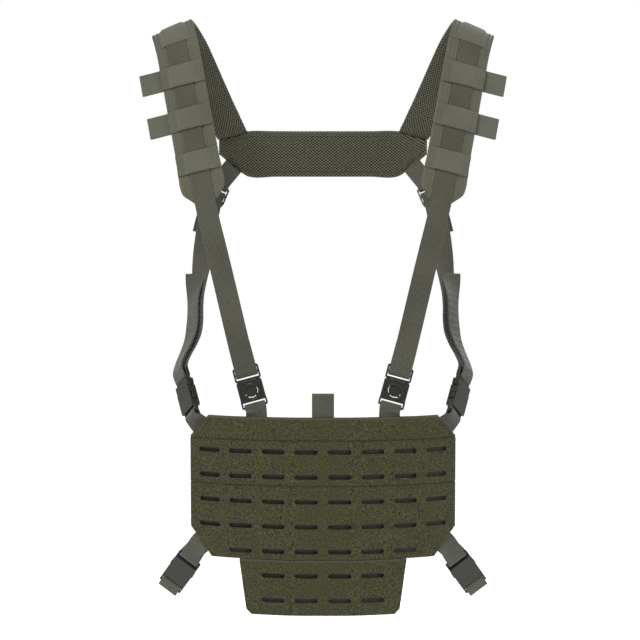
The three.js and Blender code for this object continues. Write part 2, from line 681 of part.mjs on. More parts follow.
function centreLadder() {
  const near = HOUSING_TOP + GAP;
  const far = CENTRE_LADDER_BAR + BAR_LENGTH / 2 + SLOT_LENGTH + BAR_LENGTH;
  const slotLow = CENTRE_LADDER_BAR - BAR_LENGTH / 2 - SLOT_LENGTH;
  const shoulder = plate(cutRectangle(CLIP_HALF - 0.5, near, slotLow, 1), BODY_BACK + 0.4, BODY_FACE - 0.2);
  const ladder = plate(cutRectangle(CLIP_HALF, near, far, 1.4), -BAR_THICK / 2, BAR_THICK / 2);
  const railOuter = CLIP_HALF - 0.5 - 3 - GAP;
  const rail = (hand) => block(
    [Math.min(hand * railOuter, hand * (railOuter - 2.4)), -9.5, -TONGUE_HIGH],
    [Math.max(hand * railOuter, hand * (railOuter - 2.4)), near + 1, TONGUE_HIGH]);
  const slot = (low) => block([-SLOT_ROOM / 2, low, -9], [SLOT_ROOM / 2, low + SLOT_LENGTH, 9]);
  const body = shoulder.add(ladder).add(rail(-1)).add(rail(1));
  return subtractAll(body, [slot(slotLow), slot(CENTRE_LADDER_BAR + BAR_LENGTH / 2)]);
}

// The button is moulded on a spring finger that bends at the shoulder of the ladder half.
const FINGER_TOP = 0.2;
function pressButton() {
  const finger = block([-FINGER_HALF, -BUTTON_RADIUS + 1, -TONGUE_HIGH], [FINGER_HALF, HOUSING_TOP, FINGER_TOP]);
  const rim = disc(BUTTON_RADIUS, -TONGUE_HIGH, RING_FACE - 0.4);
  const dish = disc(BUTTON_RADIUS - 1.6, RING_FACE - 1, RING_FACE + 1);
  return finger.add(rim).subtract(dish);
}

const frontClipFrame = (hand) => clipFrame(
  fromSeam(hand, FRONT_LOOP_AROUND, PANEL_TOP_Z, [5.2, 4.6, 30]), vec(hand * 0.26, 0.16, 0.95), vec(0, -1, 0));

// ---- ladder locks under the yoke -----------------------------------------------------------------------

const LOCK_BAR = 10;              // bar that hangs on the yoke's webbing
const LOCK_MIDDLE = 0;            // bar that the rear strap turns round
const LOCK_LIP = -9;
function ladderLock() {
  const top = LOCK_BAR + BAR_LENGTH / 2;
  const frame = plate(cutRectangle(CLIP_HALF, LOCK_LIP, top, 2), -BAR_THICK / 2, BAR_THICK / 2);
  const lip = plate(cutRectangle(CLIP_HALF, LOCK_LIP - 3, LOCK_LIP + 3.4, 1), -BAR_THICK / 2, FOLD + 4.2);
  const space = [
    block([-SLOT_ROOM / 2, LOCK_MIDDLE + BAR_LENGTH / 2, -9], [SLOT_ROOM / 2, LOCK_BAR - BAR_LENGTH / 2, 12]),
    block([-SLOT_ROOM / 2, LOCK_LIP - 9, -9], [SLOT_ROOM / 2, LOCK_MIDDLE - BAR_LENGTH / 2, FOLD + 1.6]),
    block([-SLOT_ROOM / 2, LOCK_LIP + 3.4, -9], [SLOT_ROOM / 2, LOCK_MIDDLE - BAR_LENGTH / 2, 12]),
  ];
  return subtractAll(frame.add(lip), space);
}

// Middle of the yoke's lower edge near its end, where the ladder lock's webbing is sewn on.
const yokeEdge = (hand) => vec(hand * 113.5, YOKE_MIDDLE_Y - 7.5, YOKE_TOP_Z - YOKE_HEIGHT + 12.5);
const lockFrame = (hand) => clipFrame(
  yokeEdge(hand).add(vec(hand * 20.5, -29.5, -32.5)),
  vec(hand * -0.34, 0.42, 0.84), vec(hand * 0.25, 0.85, -0.3));

// ---- clips and webbing, one hand at a time -------------------------------------------------------------

// Webbing folded round a clip's bar, whose two ends lie one on the other between the panel's layers.
// It enters the panel at (around, z); inward is how far it runs toward the middle and up for each mm.
const SEWN_LENGTH = 12;
const LEAVE = 4.3;                // how far it runs straight out of the panel before it turns to the clip
function sewnLoop(frame, barAt, around, z, inward) {
  const panel = onPanel(around, z, 0);
  const into = panel.along.clone().multiplyScalar(-inward[0]).add(vec(0, 0, inward[1])).normalize();
  const turned = turn(frame, barAt, 1);
  const side = new THREE.Vector3().crossVectors(panel.out, into);
  side.multiplyScalar(side.dot(turned[0].side) < 0 ? -1 : 1);
  const leg = (spread) => [SEWN_LENGTH, 0, -LEAVE].map((deep) => {
    const { at } = onPanel(around, z, FRONT_THICK + LAYER_GAP / 2 + spread);
    return { at: at.addScaledVector(into, deep), side };
  });
  const pastBar = barAt - BAR_LENGTH / 2 - 0.8;
  return ribbon([
    ...leg(-LEG), inClip(frame, pastBar, FOLD - 0.1), ...turned, inClip(frame, pastBar, -FOLD + 0.1),
    ...leg(LEG).reverse(),
  ], WEB_WIDTH - 1);
}

for (const [name, hand] of sides) {
  // top corner clip, and the strap from it up to the ladder lock
  const top = topClipFrame(hand);
  releaseClip(`top_clip_${name}`, top);
  add(`top_loop_${name}`,
    sewnLoop(top, SOCKET_BAR, hand * TOP_CORNER.around, TOP_CORNER.z, [TOP_CUT.down, -TOP_CUT.across]),
    colours.webbing);

  const lock = lockFrame(hand);
  placed(`ladder_lock_${name}`, ladderLock(), lock);
  const strapSide = vec(hand * 0.56, 0.66, -0.42);
  const upperSide = vec(hand * 0.85, 0.2, 0.1);
  const facing = (station, like) => {
    const turned = station.side.dot(like) < 0 ? station.side.clone().negate() : station.side;
    return { at: station.at, side: turned };
  };
  // Places between the lock and the clip: a share of the way down, then outward and backward from there.
  const lockLow = inClip(lock, LOCK_LIP, 0).at;
  const clipHigh = inClip(top, PLUG_FAR, 0).at;
  const down = (share, outward, backward, side) => ({
    at: lockLow.clone().lerp(clipHigh, share).add(vec(hand * outward, backward, 0)), side,
  });
  add(`rear_strap_${name}`, ribbon([
    down(0.21, 7.1, 21.6, upperSide),
    inClip(lock, LOCK_LIP - 6, FOLD),
    ...turn(lock, LOCK_MIDDLE, 1),
    inClip(lock, LOCK_LIP - 6, -FOLD),
    down(0.33, 0.6, 11.7, upperSide),
    down(0.59, -3.5, 14.8, strapSide),
    down(0.81, -8.6, 14.6, strapSide),
    inClip(top, PLUG_FAR + 4, -FOLD - 0.4),
    ...turn(top, PLUG_BAR, -1, -1),
    inClip(top, PLUG_FAR + 4, FOLD + 0.4),
    down(0.80, -2.5, 9.8, strapSide),
    down(0.60, 2.1, 12.1, strapSide),
    down(0.45, 5.3, 14.1, upperSide),
  ].map((station) => facing(station, strapSide))), colours.webbing);

  // webbing from the yoke's end to the ladder lock
  const hang = vec(hand * 0.6, -0.36, -0.7).normalize();
  const sewnAt = yokeEdge(hand).addScaledVector(hang, 2 * GAP);
  const edgeSide = vec(hand * 0.72, -0.2, 0.68).normalize();
  const edgeOut = new THREE.Vector3().crossVectors(edgeSide, hang).multiplyScalar(hand);
  const root = (height) => ({ at: sewnAt.clone().addScaledVector(edgeOut, height), side: edgeSide });
  const pastBar = LOCK_BAR + BAR_LENGTH / 2 + 0.8;
  add(`lock_loop_${name}`, ribbon([
    root(LEG + 1),
    inClip(lock, pastBar, FOLD - 0.1),
    ...turn(lock, LOCK_BAR, -1),
    inClip(lock, pastBar, -FOLD + 0.1),
    root(-LEG - 1),
  ].map((station) => facing(station, edgeSide)), WEB_WIDTH - 1), colours.webbing);

  // front clip: housing on a short loop, ladder half and button on the front strap
  const front = frontClipFrame(hand);
  placed(`front_clip_${name}_housing`, centreHousing(), front);
  placed(`front_clip_${name}_ladder`, centreLadder(), front);
  placed(`front_clip_${name}_button`, pressButton(), front);
  add(`front_loop_${name}`,
    sewnLoop(front, CENTRE_SOCKET_BAR, hand * FRONT_LOOP_AROUND, PANEL_TOP_Z, [0, -1]), colours.webbing);
  const acrossClip = new THREE.Vector3().setFromMatrixColumn(front, 0);
  const strapStations = [];
  for (const distance of [...CREST_STEPS, 45, 90, 135, 180, PAD_FRONT]) {
    const frame = padFrame(hand, distance);
    strapStations.push({ at: frame.at.addScaledVector(frame.up, STRAP_LIFT), side: frame.side });
  }
  const padTip = strapStations[strapStations.length - 1].at.clone();
  const handed = strapStations[0].side.dot(acrossClip) < 0 ? -1 : 1;
  const ladderTurn = turn(front, CENTRE_LADDER_BAR, -1).map((s) => ({
    at: s.at, side: s.side.clone().multiplyScalar(handed),
  }));
  const ladderEnd = (along, out) => {
    const station = inClip(front, along, out);
    station.side.multiplyScalar(handed);
    return station;
  };
  add(`front_strap_${name}`, ribbon([
    ...strapStations,
    { at: padTip.lerp(inClip(front, 42, FOLD).at, 0.48), side: vec(hand, 0, -0.15) },
    ladderEnd(42, FOLD),
    ...ladderTurn,
    ladderEnd(40, -FOLD),
    ladderEnd(56, -FOLD),
  ]), colours.webbing);

  // bottom corner clip
  const bottom = bottomClipFrame(hand);
  releaseClip(`bottom_clip_${name}`, bottom);
  add(`bottom_loop_${name}`,
    sewnLoop(bottom, SOCKET_BAR, hand * BOTTOM_CORNER.around, BOTTOM_CORNER.z,
      [BOTTOM_CUT.down, BOTTOM_CUT.across]),
    colours.webbing);
}

// The waist strap turns round the plug of each bottom clip and lies behind the panel.
function waistEnd(hand) {
  const frame = bottomClipFrame(hand);
  const across = vec(0.15, 0.25, 0.95);
  const fix = (station) => ({
    at: station.at, side: station.side.dot(across) < 0 ? station.side.clone().negate() : station.side,
  });
  return [
    fix(inClip(frame, PLUG_FAR + 5, FOLD)),
    ...turn(frame, PLUG_BAR, -1).map(fix),
    fix(inClip(frame, PLUG_FAR + 2, -FOLD)),
  ];
}
const waistSide = vec(0, 0.2, 0.98);
// A place on the strap: how far it is toward the middle from the clip, behind it and above it.
function waistPlace(hand, inward, behind, above) {
  const clip = new THREE.Vector3().setFromMatrixPosition(bottomClipFrame(hand));
  return { at: clip.add(vec(-hand * inward, behind, above)), side: waistSide };
}
const waistMiddle = waistPlace(1, 0, 41, 75);
waistMiddle.at.x = 0;
add('waist_strap', ribbon([
  ...waistEnd(-1), waistPlace(-1, 3, 59, 3), waistPlace(-1, 58, 53, 47),
  waistMiddle,
  waistPlace(1, 58, 53, 47), waistPlace(1, 3, 59, 3), ...waistEnd(1).reverse(),
]), colours.webbing);

export default rig;
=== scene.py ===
# The looks of a chest rig: padded shoulder straps, yoke, slotted panel, webbing and clips.
# Places come from the frame's solids, and fine details are set here. Metres, +Z up, the front faces -Y.
import math

import bmesh
import bpy
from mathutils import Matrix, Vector, noise


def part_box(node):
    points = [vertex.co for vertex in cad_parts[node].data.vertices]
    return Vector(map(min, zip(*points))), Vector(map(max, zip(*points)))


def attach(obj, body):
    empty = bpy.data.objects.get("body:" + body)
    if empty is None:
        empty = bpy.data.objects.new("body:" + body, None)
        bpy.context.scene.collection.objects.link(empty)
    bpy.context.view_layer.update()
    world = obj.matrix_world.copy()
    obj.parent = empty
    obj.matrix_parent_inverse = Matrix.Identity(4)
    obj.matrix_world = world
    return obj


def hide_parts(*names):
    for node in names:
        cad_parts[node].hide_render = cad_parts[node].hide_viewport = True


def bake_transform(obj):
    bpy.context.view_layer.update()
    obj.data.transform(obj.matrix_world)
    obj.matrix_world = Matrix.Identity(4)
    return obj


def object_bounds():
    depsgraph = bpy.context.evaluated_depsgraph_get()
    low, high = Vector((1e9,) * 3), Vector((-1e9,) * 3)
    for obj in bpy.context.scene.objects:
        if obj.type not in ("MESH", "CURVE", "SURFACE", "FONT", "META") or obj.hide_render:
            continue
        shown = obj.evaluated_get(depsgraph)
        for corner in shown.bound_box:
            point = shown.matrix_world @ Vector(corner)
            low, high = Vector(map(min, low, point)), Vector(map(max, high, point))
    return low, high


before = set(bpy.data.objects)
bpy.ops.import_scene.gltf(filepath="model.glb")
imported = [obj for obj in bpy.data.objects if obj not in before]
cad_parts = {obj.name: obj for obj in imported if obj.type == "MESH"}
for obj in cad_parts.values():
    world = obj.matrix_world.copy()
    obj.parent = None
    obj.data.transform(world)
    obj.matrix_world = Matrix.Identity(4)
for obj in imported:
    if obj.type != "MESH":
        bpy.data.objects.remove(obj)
cad_box = [list(corner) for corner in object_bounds()]

MM = 0.001
HANDS = ("left", "right")
MAIN = "rig"  # the body that holds everything that doesn't move
SAME_PLACE = 0.01 * MM  # vertices closer than this are one

# ---- places and shapes read from the frame ----


def welded(node):
    """A node's solid with its vertices joined."""
    mesh = bmesh.new()
    mesh.from_mesh(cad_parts[node].data)
    bmesh.ops.remove_doubles(mesh, verts=mesh.verts, dist=SAME_PLACE)
    return mesh


def webbing_corners(node):
    """The four corners of each section of a length of webbing, from one end to the other."""
    mesh = welded(node)
    mesh.verts.index_update()

    def partner(vert):
        others = [edge.other_vert(vert) for edge in vert.link_edges]
        return min(others, key=lambda other: (other.co - vert.co).length)

    def layers_from(first):
        layers = [list(first)]
        seen = set(first)
        while layers[-1]:
            fresh = []
            for vert in layers[-1]:
                for edge in vert.link_edges:
                    other = edge.other_vert(vert)
                    if other not in seen:
                        seen.add(other)
                        fresh.append(other)
            layers.append(fresh)
        return layers[:-1]

    for near in mesh.verts:
        over = partner(near)
        for edge in near.link_edges:
            far = edge.other_vert(near)
            start = [near, over, far, partner(far)]
            if len(set(start)) < 4:
                continue
            layers = layers_from(start)
            if all(len(layer) == 4 for layer in layers):
                return in_order([[vert.co.copy() for vert in layer] for layer in layers])
    raise ValueError(f"no sections found in {node}")


def in_order(sections):
    """Puts each section's corners in one order: near low, near high, far low, far high."""
    ordered = [sections[0]]
    for corners in sections[1:]:
        last = ordered[-1]
        side = last[2] + last[3] - last[0] - last[1]
        rise = last[1] + last[3] - last[0] - last[2]
        middle = sum(corners, Vector()) / 4
        by_side = sorted(corners, key=lambda corner: (corner - middle).dot(side))
        near = sorted(by_side[:2], key=lambda corner: (corner - middle).dot(rise))
        far = sorted(by_side[2:], key=lambda corner: (corner - middle).dot(rise))
        ordered.append(near + far)
    return ordered


def slab_corners(node, sharpest=45):
    """The same four corners for a wide slab, found by walking along its four long edges."""
    mesh = welded(node)
    sharp = {vert: [] for vert in mesh.verts}
    for edge in mesh.edges:
        if edge.calc_face_angle(0) > math.radians(sharpest):
            for vert in edge.verts:
                sharp[vert].append(edge)

    def walk(start, edge):
        path = [start, edge.other_vert(start)]
        while len(sharp[path[-1]]) == 2:
            edge = next(other for other in sharp[path[-1]] if other != edge)
            path.append(edge.other_vert(path[-1]))
        return path

    def reach(path):
        return sum((b.co - a.co).length for a, b in zip(path, path[1:]))

    ends = [vert for vert in mesh.verts if len(sharp[vert]) == 3]
    rails = [max((walk(end, edge) for edge in sharp[end]), key=reach) for end in ends]
    first = rails[0]
    starts = [rail for rail in rails if rail[-1] != first[0]]
    starts.sort(key=lambda rail: (rail[0].co - first[0].co).length)
    low, high, far_one, far_two = starts[:4]
    if (far_two[0].co - low[0].co).length < (far_one[0].co - low[0].co).length:
        far_one, far_two = far_two, far_one
    return [[rail[k].co.copy() for rail in (low, high, far_one, far_two)] for k in range(len(first))]


class Strip:
    """A long slab, smoothed: any place along it, across it (-1 to 1) and through it (-1 to 1)."""

    def __init__(self, sections):
        self.middle = [sum(corners, Vector()) / 4 for corners in sections]
        self.side = [(c[2] + c[3] - c[0] - c[1]) / 4 for c in sections]
        self.rise = [(c[1] + c[3] - c[0] - c[2]) / 4 for c in sections]
        self.reach = [0.0]
        for a, b in zip(self.middle, self.middle[1:]):
            self.reach.append(self.reach[-1] + (b - a).length)
        self.length = self.reach[-1]

    def turned_over(self):
        """Swaps low and high, and near and far, so that rise points the other way."""
        self.rise = [-rise for rise in self.rise]
        self.side = [-side for side in self.side]
        return self

    def smooth(self, values, along):
        """A value at a place along the strip, on a smooth curve through the sections' own values."""
        along = min(max(along, 0.0), self.length)
        last = len(self.reach) - 2
        k = next((i for i in range(last + 1) if along <= self.reach[i + 1]), last)
        span = self.reach[k + 1] - self.reach[k]
        t = (along - self.reach[k]) / span

        def slope(i):
            low, high = max(i - 1, 0), min(i + 1, last + 1)
            return (values[high] - values[low]) * (span / (self.reach[high] - self.reach[low]))

        return (values[k] * (2 * t ** 3 - 3 * t ** 2 + 1) + slope(k) * (t ** 3 - 2 * t ** 2 + t)
                + values[k + 1] * (3 * t ** 2 - 2 * t ** 3) + slope(k + 1) * (t ** 3 - t ** 2))

    def at(self, along, across=0.0, height=0.0, lift=0.0):
        """height counts in half thicknesses, and lift is a further distance outward in metres."""
        rise = self.smooth(self.rise, along)
        point = self.smooth(self.middle, along) + self.smooth(self.side, along) * across + rise * height
        return point + rise.normalized() * lift + self.past_end(along)

    def past_end(self, along):
        """Carries on straight for a place before the start of the strip or after its end."""
        inside = min(max(along, 0.0), self.length)
        if inside == along:
            return Vector()
        step = 1 * MM if inside == 0 else -1 * MM
        slope = (self.smooth(self.middle, inside + step) - self.smooth(self.middle, inside)) / step
        return slope * (along - inside)

    def half(self, along):
        """Half the strip's width."""
        return self.smooth(self.side, along).length

    def outward(self, along):
        """The direction in which the strip's high side looks."""
        return self.smooth(self.rise, along).normalized()

    def nearest(self, point):
        """How far along the strip comes closest to a point."""
        steps = 400
        places = [self.length * k / steps for k in range(steps + 1)]
        return min(places, key=lambda along: (self.smooth(self.middle, along) - point).length)


def from_back(node):
    """A pad's strip, starting at its end at the yoke."""
    sections = slab_corners(node)
    return Strip(sections if sections[0][0].y > sections[-1][0].y else sections[::-1])


def facing(strip, outward):
    """Turns a strip over if its high side doesn't point outward at its middle."""
    rise = strip.smooth(strip.rise, strip.length / 2)
    return strip if rise.dot(outward) > 0 else strip.turned_over()


def middle_of(node):
    """The middle of a solid's box."""
    low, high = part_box(node)
    return (low + high) / 2


# ---- mesh helpers ----


def shade_smooth(data):
    for face in data.polygons:
        face.use_smooth = True


def new_object(name, mesh, material):
    data = bpy.data.meshes.new(name)
    mesh.to_mesh(data)
    mesh.free()
    data.materials.append(material)
    shade_smooth(data)
    piece = bpy.data.objects.new(name, data)
    bpy.context.scene.collection.objects.link(piece)
    return piece


def loft(name, rings, cloth, material, insets=None):
    """A closed surface through rings of points. cloth gives each point its place on the flat fabric,
    and insets its distance from the sewn edge."""
    mesh = bmesh.new()
    layer = mesh.verts.layers.float_vector.new("cloth")
    inset_layer = mesh.verts.layers.float.new("inset")
    rows = []
    for number, (ring, places) in enumerate(zip(rings, cloth)):
        row = []
        for k, (point, place) in enumerate(zip(ring, places)):
            vert = mesh.verts.new(point)
            vert[layer] = place
            vert[inset_layer] = insets[number][k] if insets else 1.0
            row.append(vert)
        rows.append(row)
    count = len(rows[0])
    for a, b in zip(rows, rows[1:]):
        for k in range(count):
            n = (k + 1) % count
            mesh.faces.new((a[k], a[n], b[n], b[k]))
    for row in (rows[0], rows[-1]):
        for k in range(count // 2 - 1):
            mesh.faces.new((row[k], row[k + 1], row[count - 2 - k], row[count - 1 - k]))
    bmesh.ops.recalc_face_normals(mesh, faces=mesh.faces)
    return new_object(name, mesh, material)


def modify(piece, kind, **settings):
    """Adds a modifier with its settings."""
    made = piece.modifiers.new(kind.lower(), kind)
    for key, value in settings.items():
        setattr(made, key, value)
    return made


def apply_modifiers(piece):
    """Puts the result of all modifiers in the piece's own mesh."""
    bpy.context.view_layer.update()
    graph = bpy.context.evaluated_depsgraph_get()
    data = bpy.data.meshes.new_from_object(piece.evaluated_get(graph))
    old = piece.data
    piece.modifiers.clear()
    piece.data = data
    bpy.data.meshes.remove(old)


def finish_piece(piece, body, slot, *nodes):
    """Ties a piece to its body and hides the solids it stands for. The slot is not used."""
    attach(piece, body)
    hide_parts(*nodes)
    return piece


def ease(value):
    """A soft step from 0 to 1."""
    value = min(max(value, 0.0), 1.0)
    return value * value * (3 - 2 * value)


# ---- shader node helpers ----


class Graph:
    """Nodes and links of one material or group, with the nodes set out from left to right."""

    def __init__(self, tree):
        self.tree = tree
        self.count = 0

    def node(self, kind, **settings):
        made = self.tree.nodes.new(kind)
        made.location = (self.count * 180, 0)
        self.count += 1
        for key, value in settings.items():
            setattr(made, key, value)
        return made

    def link(self, source, target):
        self.tree.links.new(source, target)

    def feed(self, socket, value):
        if isinstance(value, bpy.types.NodeSocket):
            self.link(value, socket)
        else:
            socket.default_value = value

    def math(self, operation, *values):
        made = self.node("ShaderNodeMath", operation=operation)
        for socket, value in zip(made.inputs, values):
            self.feed(socket, value)
        return made.outputs[0]

    def ramp(self, value, low, high):
        """0 below low and 1 above high, with a soft step between."""
        made = self.node("ShaderNodeMapRange", interpolation_type="SMOOTHSTEP")
        self.feed(made.inputs["Value"], value)
        self.feed(made.inputs["From Min"], low)
        self.feed(made.inputs["From Max"], high)
        return made.outputs[0]

    def mix(self, factor, first, second):
        made = self.node("ShaderNodeMix", data_type="RGBA")
        self.feed(made.inputs[0], factor)
        self.feed(made.inputs[6], first)
        self.feed(made.inputs[7], second)
        return made.outputs[2]

    def grain(self, vector, scale, detail=2.0):
        made = self.node("ShaderNodeTexNoise")
        self.feed(made.inputs["Vector"], vector)
        made.inputs["Scale"].default_value = scale
        made.inputs["Detail"].default_value = detail
        return made.outputs[0]


def new_group(name, inputs, outputs):
    """A node group from its inputs, each with a kind and a default, and its float outputs."""
    tree = bpy.data.node_groups.new(name, "ShaderNodeTree")
    for label, kind, default in inputs:
        socket = tree.interface.new_socket(label, in_out="INPUT", socket_type=kind)
        if default is not None:
            socket.default_value = default
    for label in outputs:
        tree.interface.new_socket(label, in_out="OUTPUT", socket_type="NodeSocketFloat")
    graph = Graph(tree)
    return tree, graph, graph.node("NodeGroupInput"), graph.node("NodeGroupOutput")


YARN_PACE = 1.7  # how many times closer the crossing yarns lie than the ribs
YARN_SHARE = 0.35  # height of the yarns, as a share of the ribs'
HEIGHT_SHARE = 0.37  # brings ribs and yarns together to between 0 and 1


def build_weave_group():
    """Diagonal twill ribs crossed by yarns, on the flat cloth's own axes in metres."""
    tree, s, given, out = new_group(
        "twill_weave",
        [("Cloth", "NodeSocketVector", None), ("Rib", "NodeSocketFloat", 1.0 * MM),
         ("Slant", "NodeSocketFloat", 0.8)],
        ["Height", "Gap"])
    place = s.node("ShaderNodeSeparateXYZ")
    s.link(given.outputs["Cloth"], place.inputs[0])
    across, along = place.outputs[0], place.outputs[1]
    turn = s.math("DIVIDE", 2 * math.pi, given.outputs["Rib"])
    lean = s.math("MULTIPLY_ADD", across, given.outputs["Slant"], along)
    ribs = s.math("SINE", s.math("MULTIPLY", lean, turn))
    crossing = s.math("MULTIPLY", s.math("SUBTRACT", across, along), s.math("MULTIPLY", turn, YARN_PACE))
    both = s.math("MULTIPLY_ADD", s.math("SINE", crossing), YARN_SHARE, ribs)
    s.link(s.math("MULTIPLY_ADD", both, HEIGHT_SHARE, 0.5), out.inputs["Height"])
    # Gap marks the hollows between the ribs, where the woven materials paint shade
    s.link(s.ramp(s.math("MULTIPLY", both, -1.0), 0.1, 0.95), out.inputs["Gap"])
    return tree


LATTICE_ACROSS = 3.6 * MM  # pitch of the holes in the spacer mesh
LATTICE_ALONG = 4.6 * MM
HOLE_FROM = 0.55  # where a hole's slope begins, on the wave that lays the holes out
HOLE_SLOPE = 0.6
FINE_YARN = 9000.0  # turn of the fine yarns, in radians for each metre


def build_lattice_group():
    """Diamond holes in slanting rows, as in a knitted spacer mesh. Hole is 1 inside a hole."""
    tree, s, given, out = new_group(
        "mesh_lattice",
        [("Cloth", "NodeSocketVector", None), ("Across", "NodeSocketFloat", LATTICE_ACROSS),
         ("Along", "NodeSocketFloat", LATTICE_ALONG)],
        ["Hole", "Yarn"])
    place = s.node("ShaderNodeSeparateXYZ")
    s.link(given.outputs["Cloth"], place.inputs[0])
    u = s.math("MULTIPLY", place.outputs[0], s.math("DIVIDE", 2 * math.pi, given.outputs["Across"]))
    v = s.math("MULTIPLY", place.outputs[1], s.math("DIVIDE", 2 * math.pi, given.outputs["Along"]))
    wave = s.math("ADD", s.math("COSINE", u), s.math("COSINE", v))
    hole = s.ramp(s.math("ABSOLUTE", wave), HOLE_FROM, HOLE_FROM + HOLE_SLOPE)
    s.link(hole, out.inputs["Hole"])
    both = s.math("ADD", place.outputs[0], place.outputs[1])
    fine = s.math("SINE", s.math("MULTIPLY", both, FINE_YARN))
    s.link(s.math("MULTIPLY_ADD", fine, 0.5, 0.5), out.inputs["Yarn"])
    return tree


def build_fade_group():
    """Slow uneven fading and fine speckle in a fabric's colour."""
    tree, s, given, out = new_group(
        "fabric_fade",
        [("Patch", "NodeSocketFloat", 18.0), ("Speck", "NodeSocketFloat", 900.0)],
        ["Fade", "Speckle"])
    place = s.node("ShaderNodeTexCoord").outputs["Object"]
    for label, scale_from in (("Fade", "Patch"), ("Speckle", "Speck")):
        made = s.node("ShaderNodeTexNoise")
        s.link(place, made.inputs["Vector"])
        s.link(given.outputs[scale_from], made.inputs["Scale"])
        made.inputs["Detail"].default_value = 3.0
        s.link(s.ramp(made.outputs[0], 0.36, 0.64), out.inputs[label])
    return tree


WEAVE = build_weave_group()
LATTICE = build_lattice_group()
FADE = build_fade_group()


def new_material(name, roughness, sheen=0.0, specular=0.5):
    material = bpy.data.materials.new(name)
    material.use_nodes = True
    tree = material.node_tree
    tree.nodes.clear()
    s = Graph(tree)
    shader = s.node("ShaderNodeBsdfPrincipled")
    shader.inputs["Roughness"].default_value = roughness
    shader.inputs["Sheen Weight"].default_value = sheen
    shader.inputs["Sheen Roughness"].default_value = 0.5
    shader.inputs["Specular IOR Level"].default_value = specular
    out = s.node("ShaderNodeOutputMaterial")
    s.link(shader.outputs[0], out.inputs[0])
    return material, s, shader


def place_group(s, tree, **values):
    made = s.node("ShaderNodeGroup", node_tree=tree)
    for label, value in values.items():
        s.feed(made.inputs[label], value)
    return made.outputs


def cloth_place(s):
    return s.node("ShaderNodeAttribute", attribute_name="cloth").outputs["Vector"]


def bump(s, shader, height, distance, strength=1.0):
    made = s.node("ShaderNodeBump")
    made.inputs["Strength"].default_value = strength
    made.inputs["Distance"].default_value = distance
    s.feed(made.inputs["Height"], height)
    s.link(made.outputs[0], shader.inputs["Normal"])


WOVEN_ROUGH = 0.85


def woven(name, light, dark, rib, slant, depth):
    """A woven nylon: its light and dark shades, rib pitch and slant, and how deep the ribs are. The gaps
    between the ribs get painted shade.
    """
    material, s, shader = new_material(name, WOVEN_ROUGH, sheen=0.25, specular=0.3)
    weave = place_group(s, WEAVE, Cloth=cloth_place(s), Rib=rib, Slant=slant)
    fade = place_group(s, FADE, Patch=18.0, Speck=1400.0)
    tone = s.math("MULTIPLY_ADD", fade["Fade"], 0.3, s.math("MULTIPLY", fade["Speckle"], 0.35))
    colour = s.mix(s.math("ADD", tone, 0.15), light, dark)
    # painted shade: the hollows between the ribs are darkened towards a third of the dark shade
    painted_gap_shade = [channel * 0.3 for channel in dark[:3]] + [1.0]
    gap_shaded_colour = s.mix(s.math("MULTIPLY", weave["Gap"], 0.75), colour, painted_gap_shade)
    s.link(gap_shaded_colour, shader.inputs["Base Color"])
    s.link(s.math("MULTIPLY_ADD", weave["Height"], -0.15, WOVEN_ROUGH + 0.08), shader.inputs["Roughness"])
    bump(s, shader, weave["Height"], depth)
    return material


def shade(red, green, blue):
    return (red, green, blue, 1.0)


def spacer_mesh():
    """A knit whose holes, where the cloth's third value is 1, are painted near black as shade, with plain
    yarn where it is 0.
    """
    material, s, shader = new_material("spacer_mesh", 0.8, sheen=0.1, specular=0.25)
    place = cloth_place(s)
    net = place_group(s, LATTICE, Cloth=place)
    fade = place_group(s, FADE, Patch=25.0, Speck=1500.0)
    light, dark = shade(0.13, 0.127, 0.082), shade(0.06, 0.059, 0.036)
    yarn = s.mix(s.math("MULTIPLY", fade["Speckle"], 0.6), light, dark)
    flat = s.node("ShaderNodeSeparateXYZ")
    s.link(place, flat.inputs[0])
    hole = s.math("MULTIPLY", net["Hole"], flat.outputs[2])
    # painted shade: inside the holes the colour goes to near black
    colour = s.mix(hole, yarn, shade(0.006, 0.006, 0.004))
    s.link(colour, shader.inputs["Base Color"])
    s.link(s.math("MULTIPLY_ADD", hole, 0.15, 0.78), shader.inputs["Roughness"])
    bump(s, shader, s.math("SUBTRACT", s.math("MULTIPLY", net["Yarn"], 0.25), hole), 0.5 * MM)
    return material


def loop_face():
    """The napped face of the panel: tangled loops with light specks and dark gaps between, and painted shade
    in the pressed seam grooves.
    """
    material, s, shader = new_material("loop_face", 0.95, sheen=0.12, specular=0.15)
    place = s.node("ShaderNodeTexCoord").outputs["Object"]
    cells = s.node("ShaderNodeTexVoronoi", feature="F1")
    s.link(place, cells.inputs["Vector"])
    cells.inputs["Scale"].default_value = 1100.0
    tangle = s.grain(place, 700.0, 4.0)
    slow = s.grain(place, 60.0, 3.0)
    light, dark = shade(0.068, 0.066, 0.029), shade(0.017, 0.017, 0.007)
    base = s.mix(s.ramp(tangle, 0.38, 0.62), dark, light)
    patched = s.mix(s.math("MULTIPLY", s.ramp(slow, 0.35, 0.7), 0.4), base, shade(0.034, 0.034, 0.015))
    speck = s.math("MULTIPLY", s.ramp(s.grain(place, 1000.0, 2.0), 0.6, 0.7), 0.6)
    colour = s.mix(speck, patched, shade(0.16, 0.155, 0.085))
    # painted shade: the colour goes three quarters of the way to near black along the pressed seam grooves
    pressed = s.node("ShaderNodeAttribute", attribute_name="seam").outputs["Fac"]
    colour = s.mix(s.math("MULTIPLY", pressed, 0.75), colour, shade(0.012, 0.012, 0.006))
    border = s.node("ShaderNodeAttribute", attribute_name="border").outputs["Fac"]
    s.link(s.mix(border, colour, shade(0.062, 0.061, 0.042)), shader.inputs["Base Color"])
    nap = s.math("MULTIPLY_ADD", cells.outputs["Distance"], 0.6, s.math("MULTIPLY", tangle, 0.8))
    bump(s, shader, nap, 0.9 * MM, 0.9)
    return material


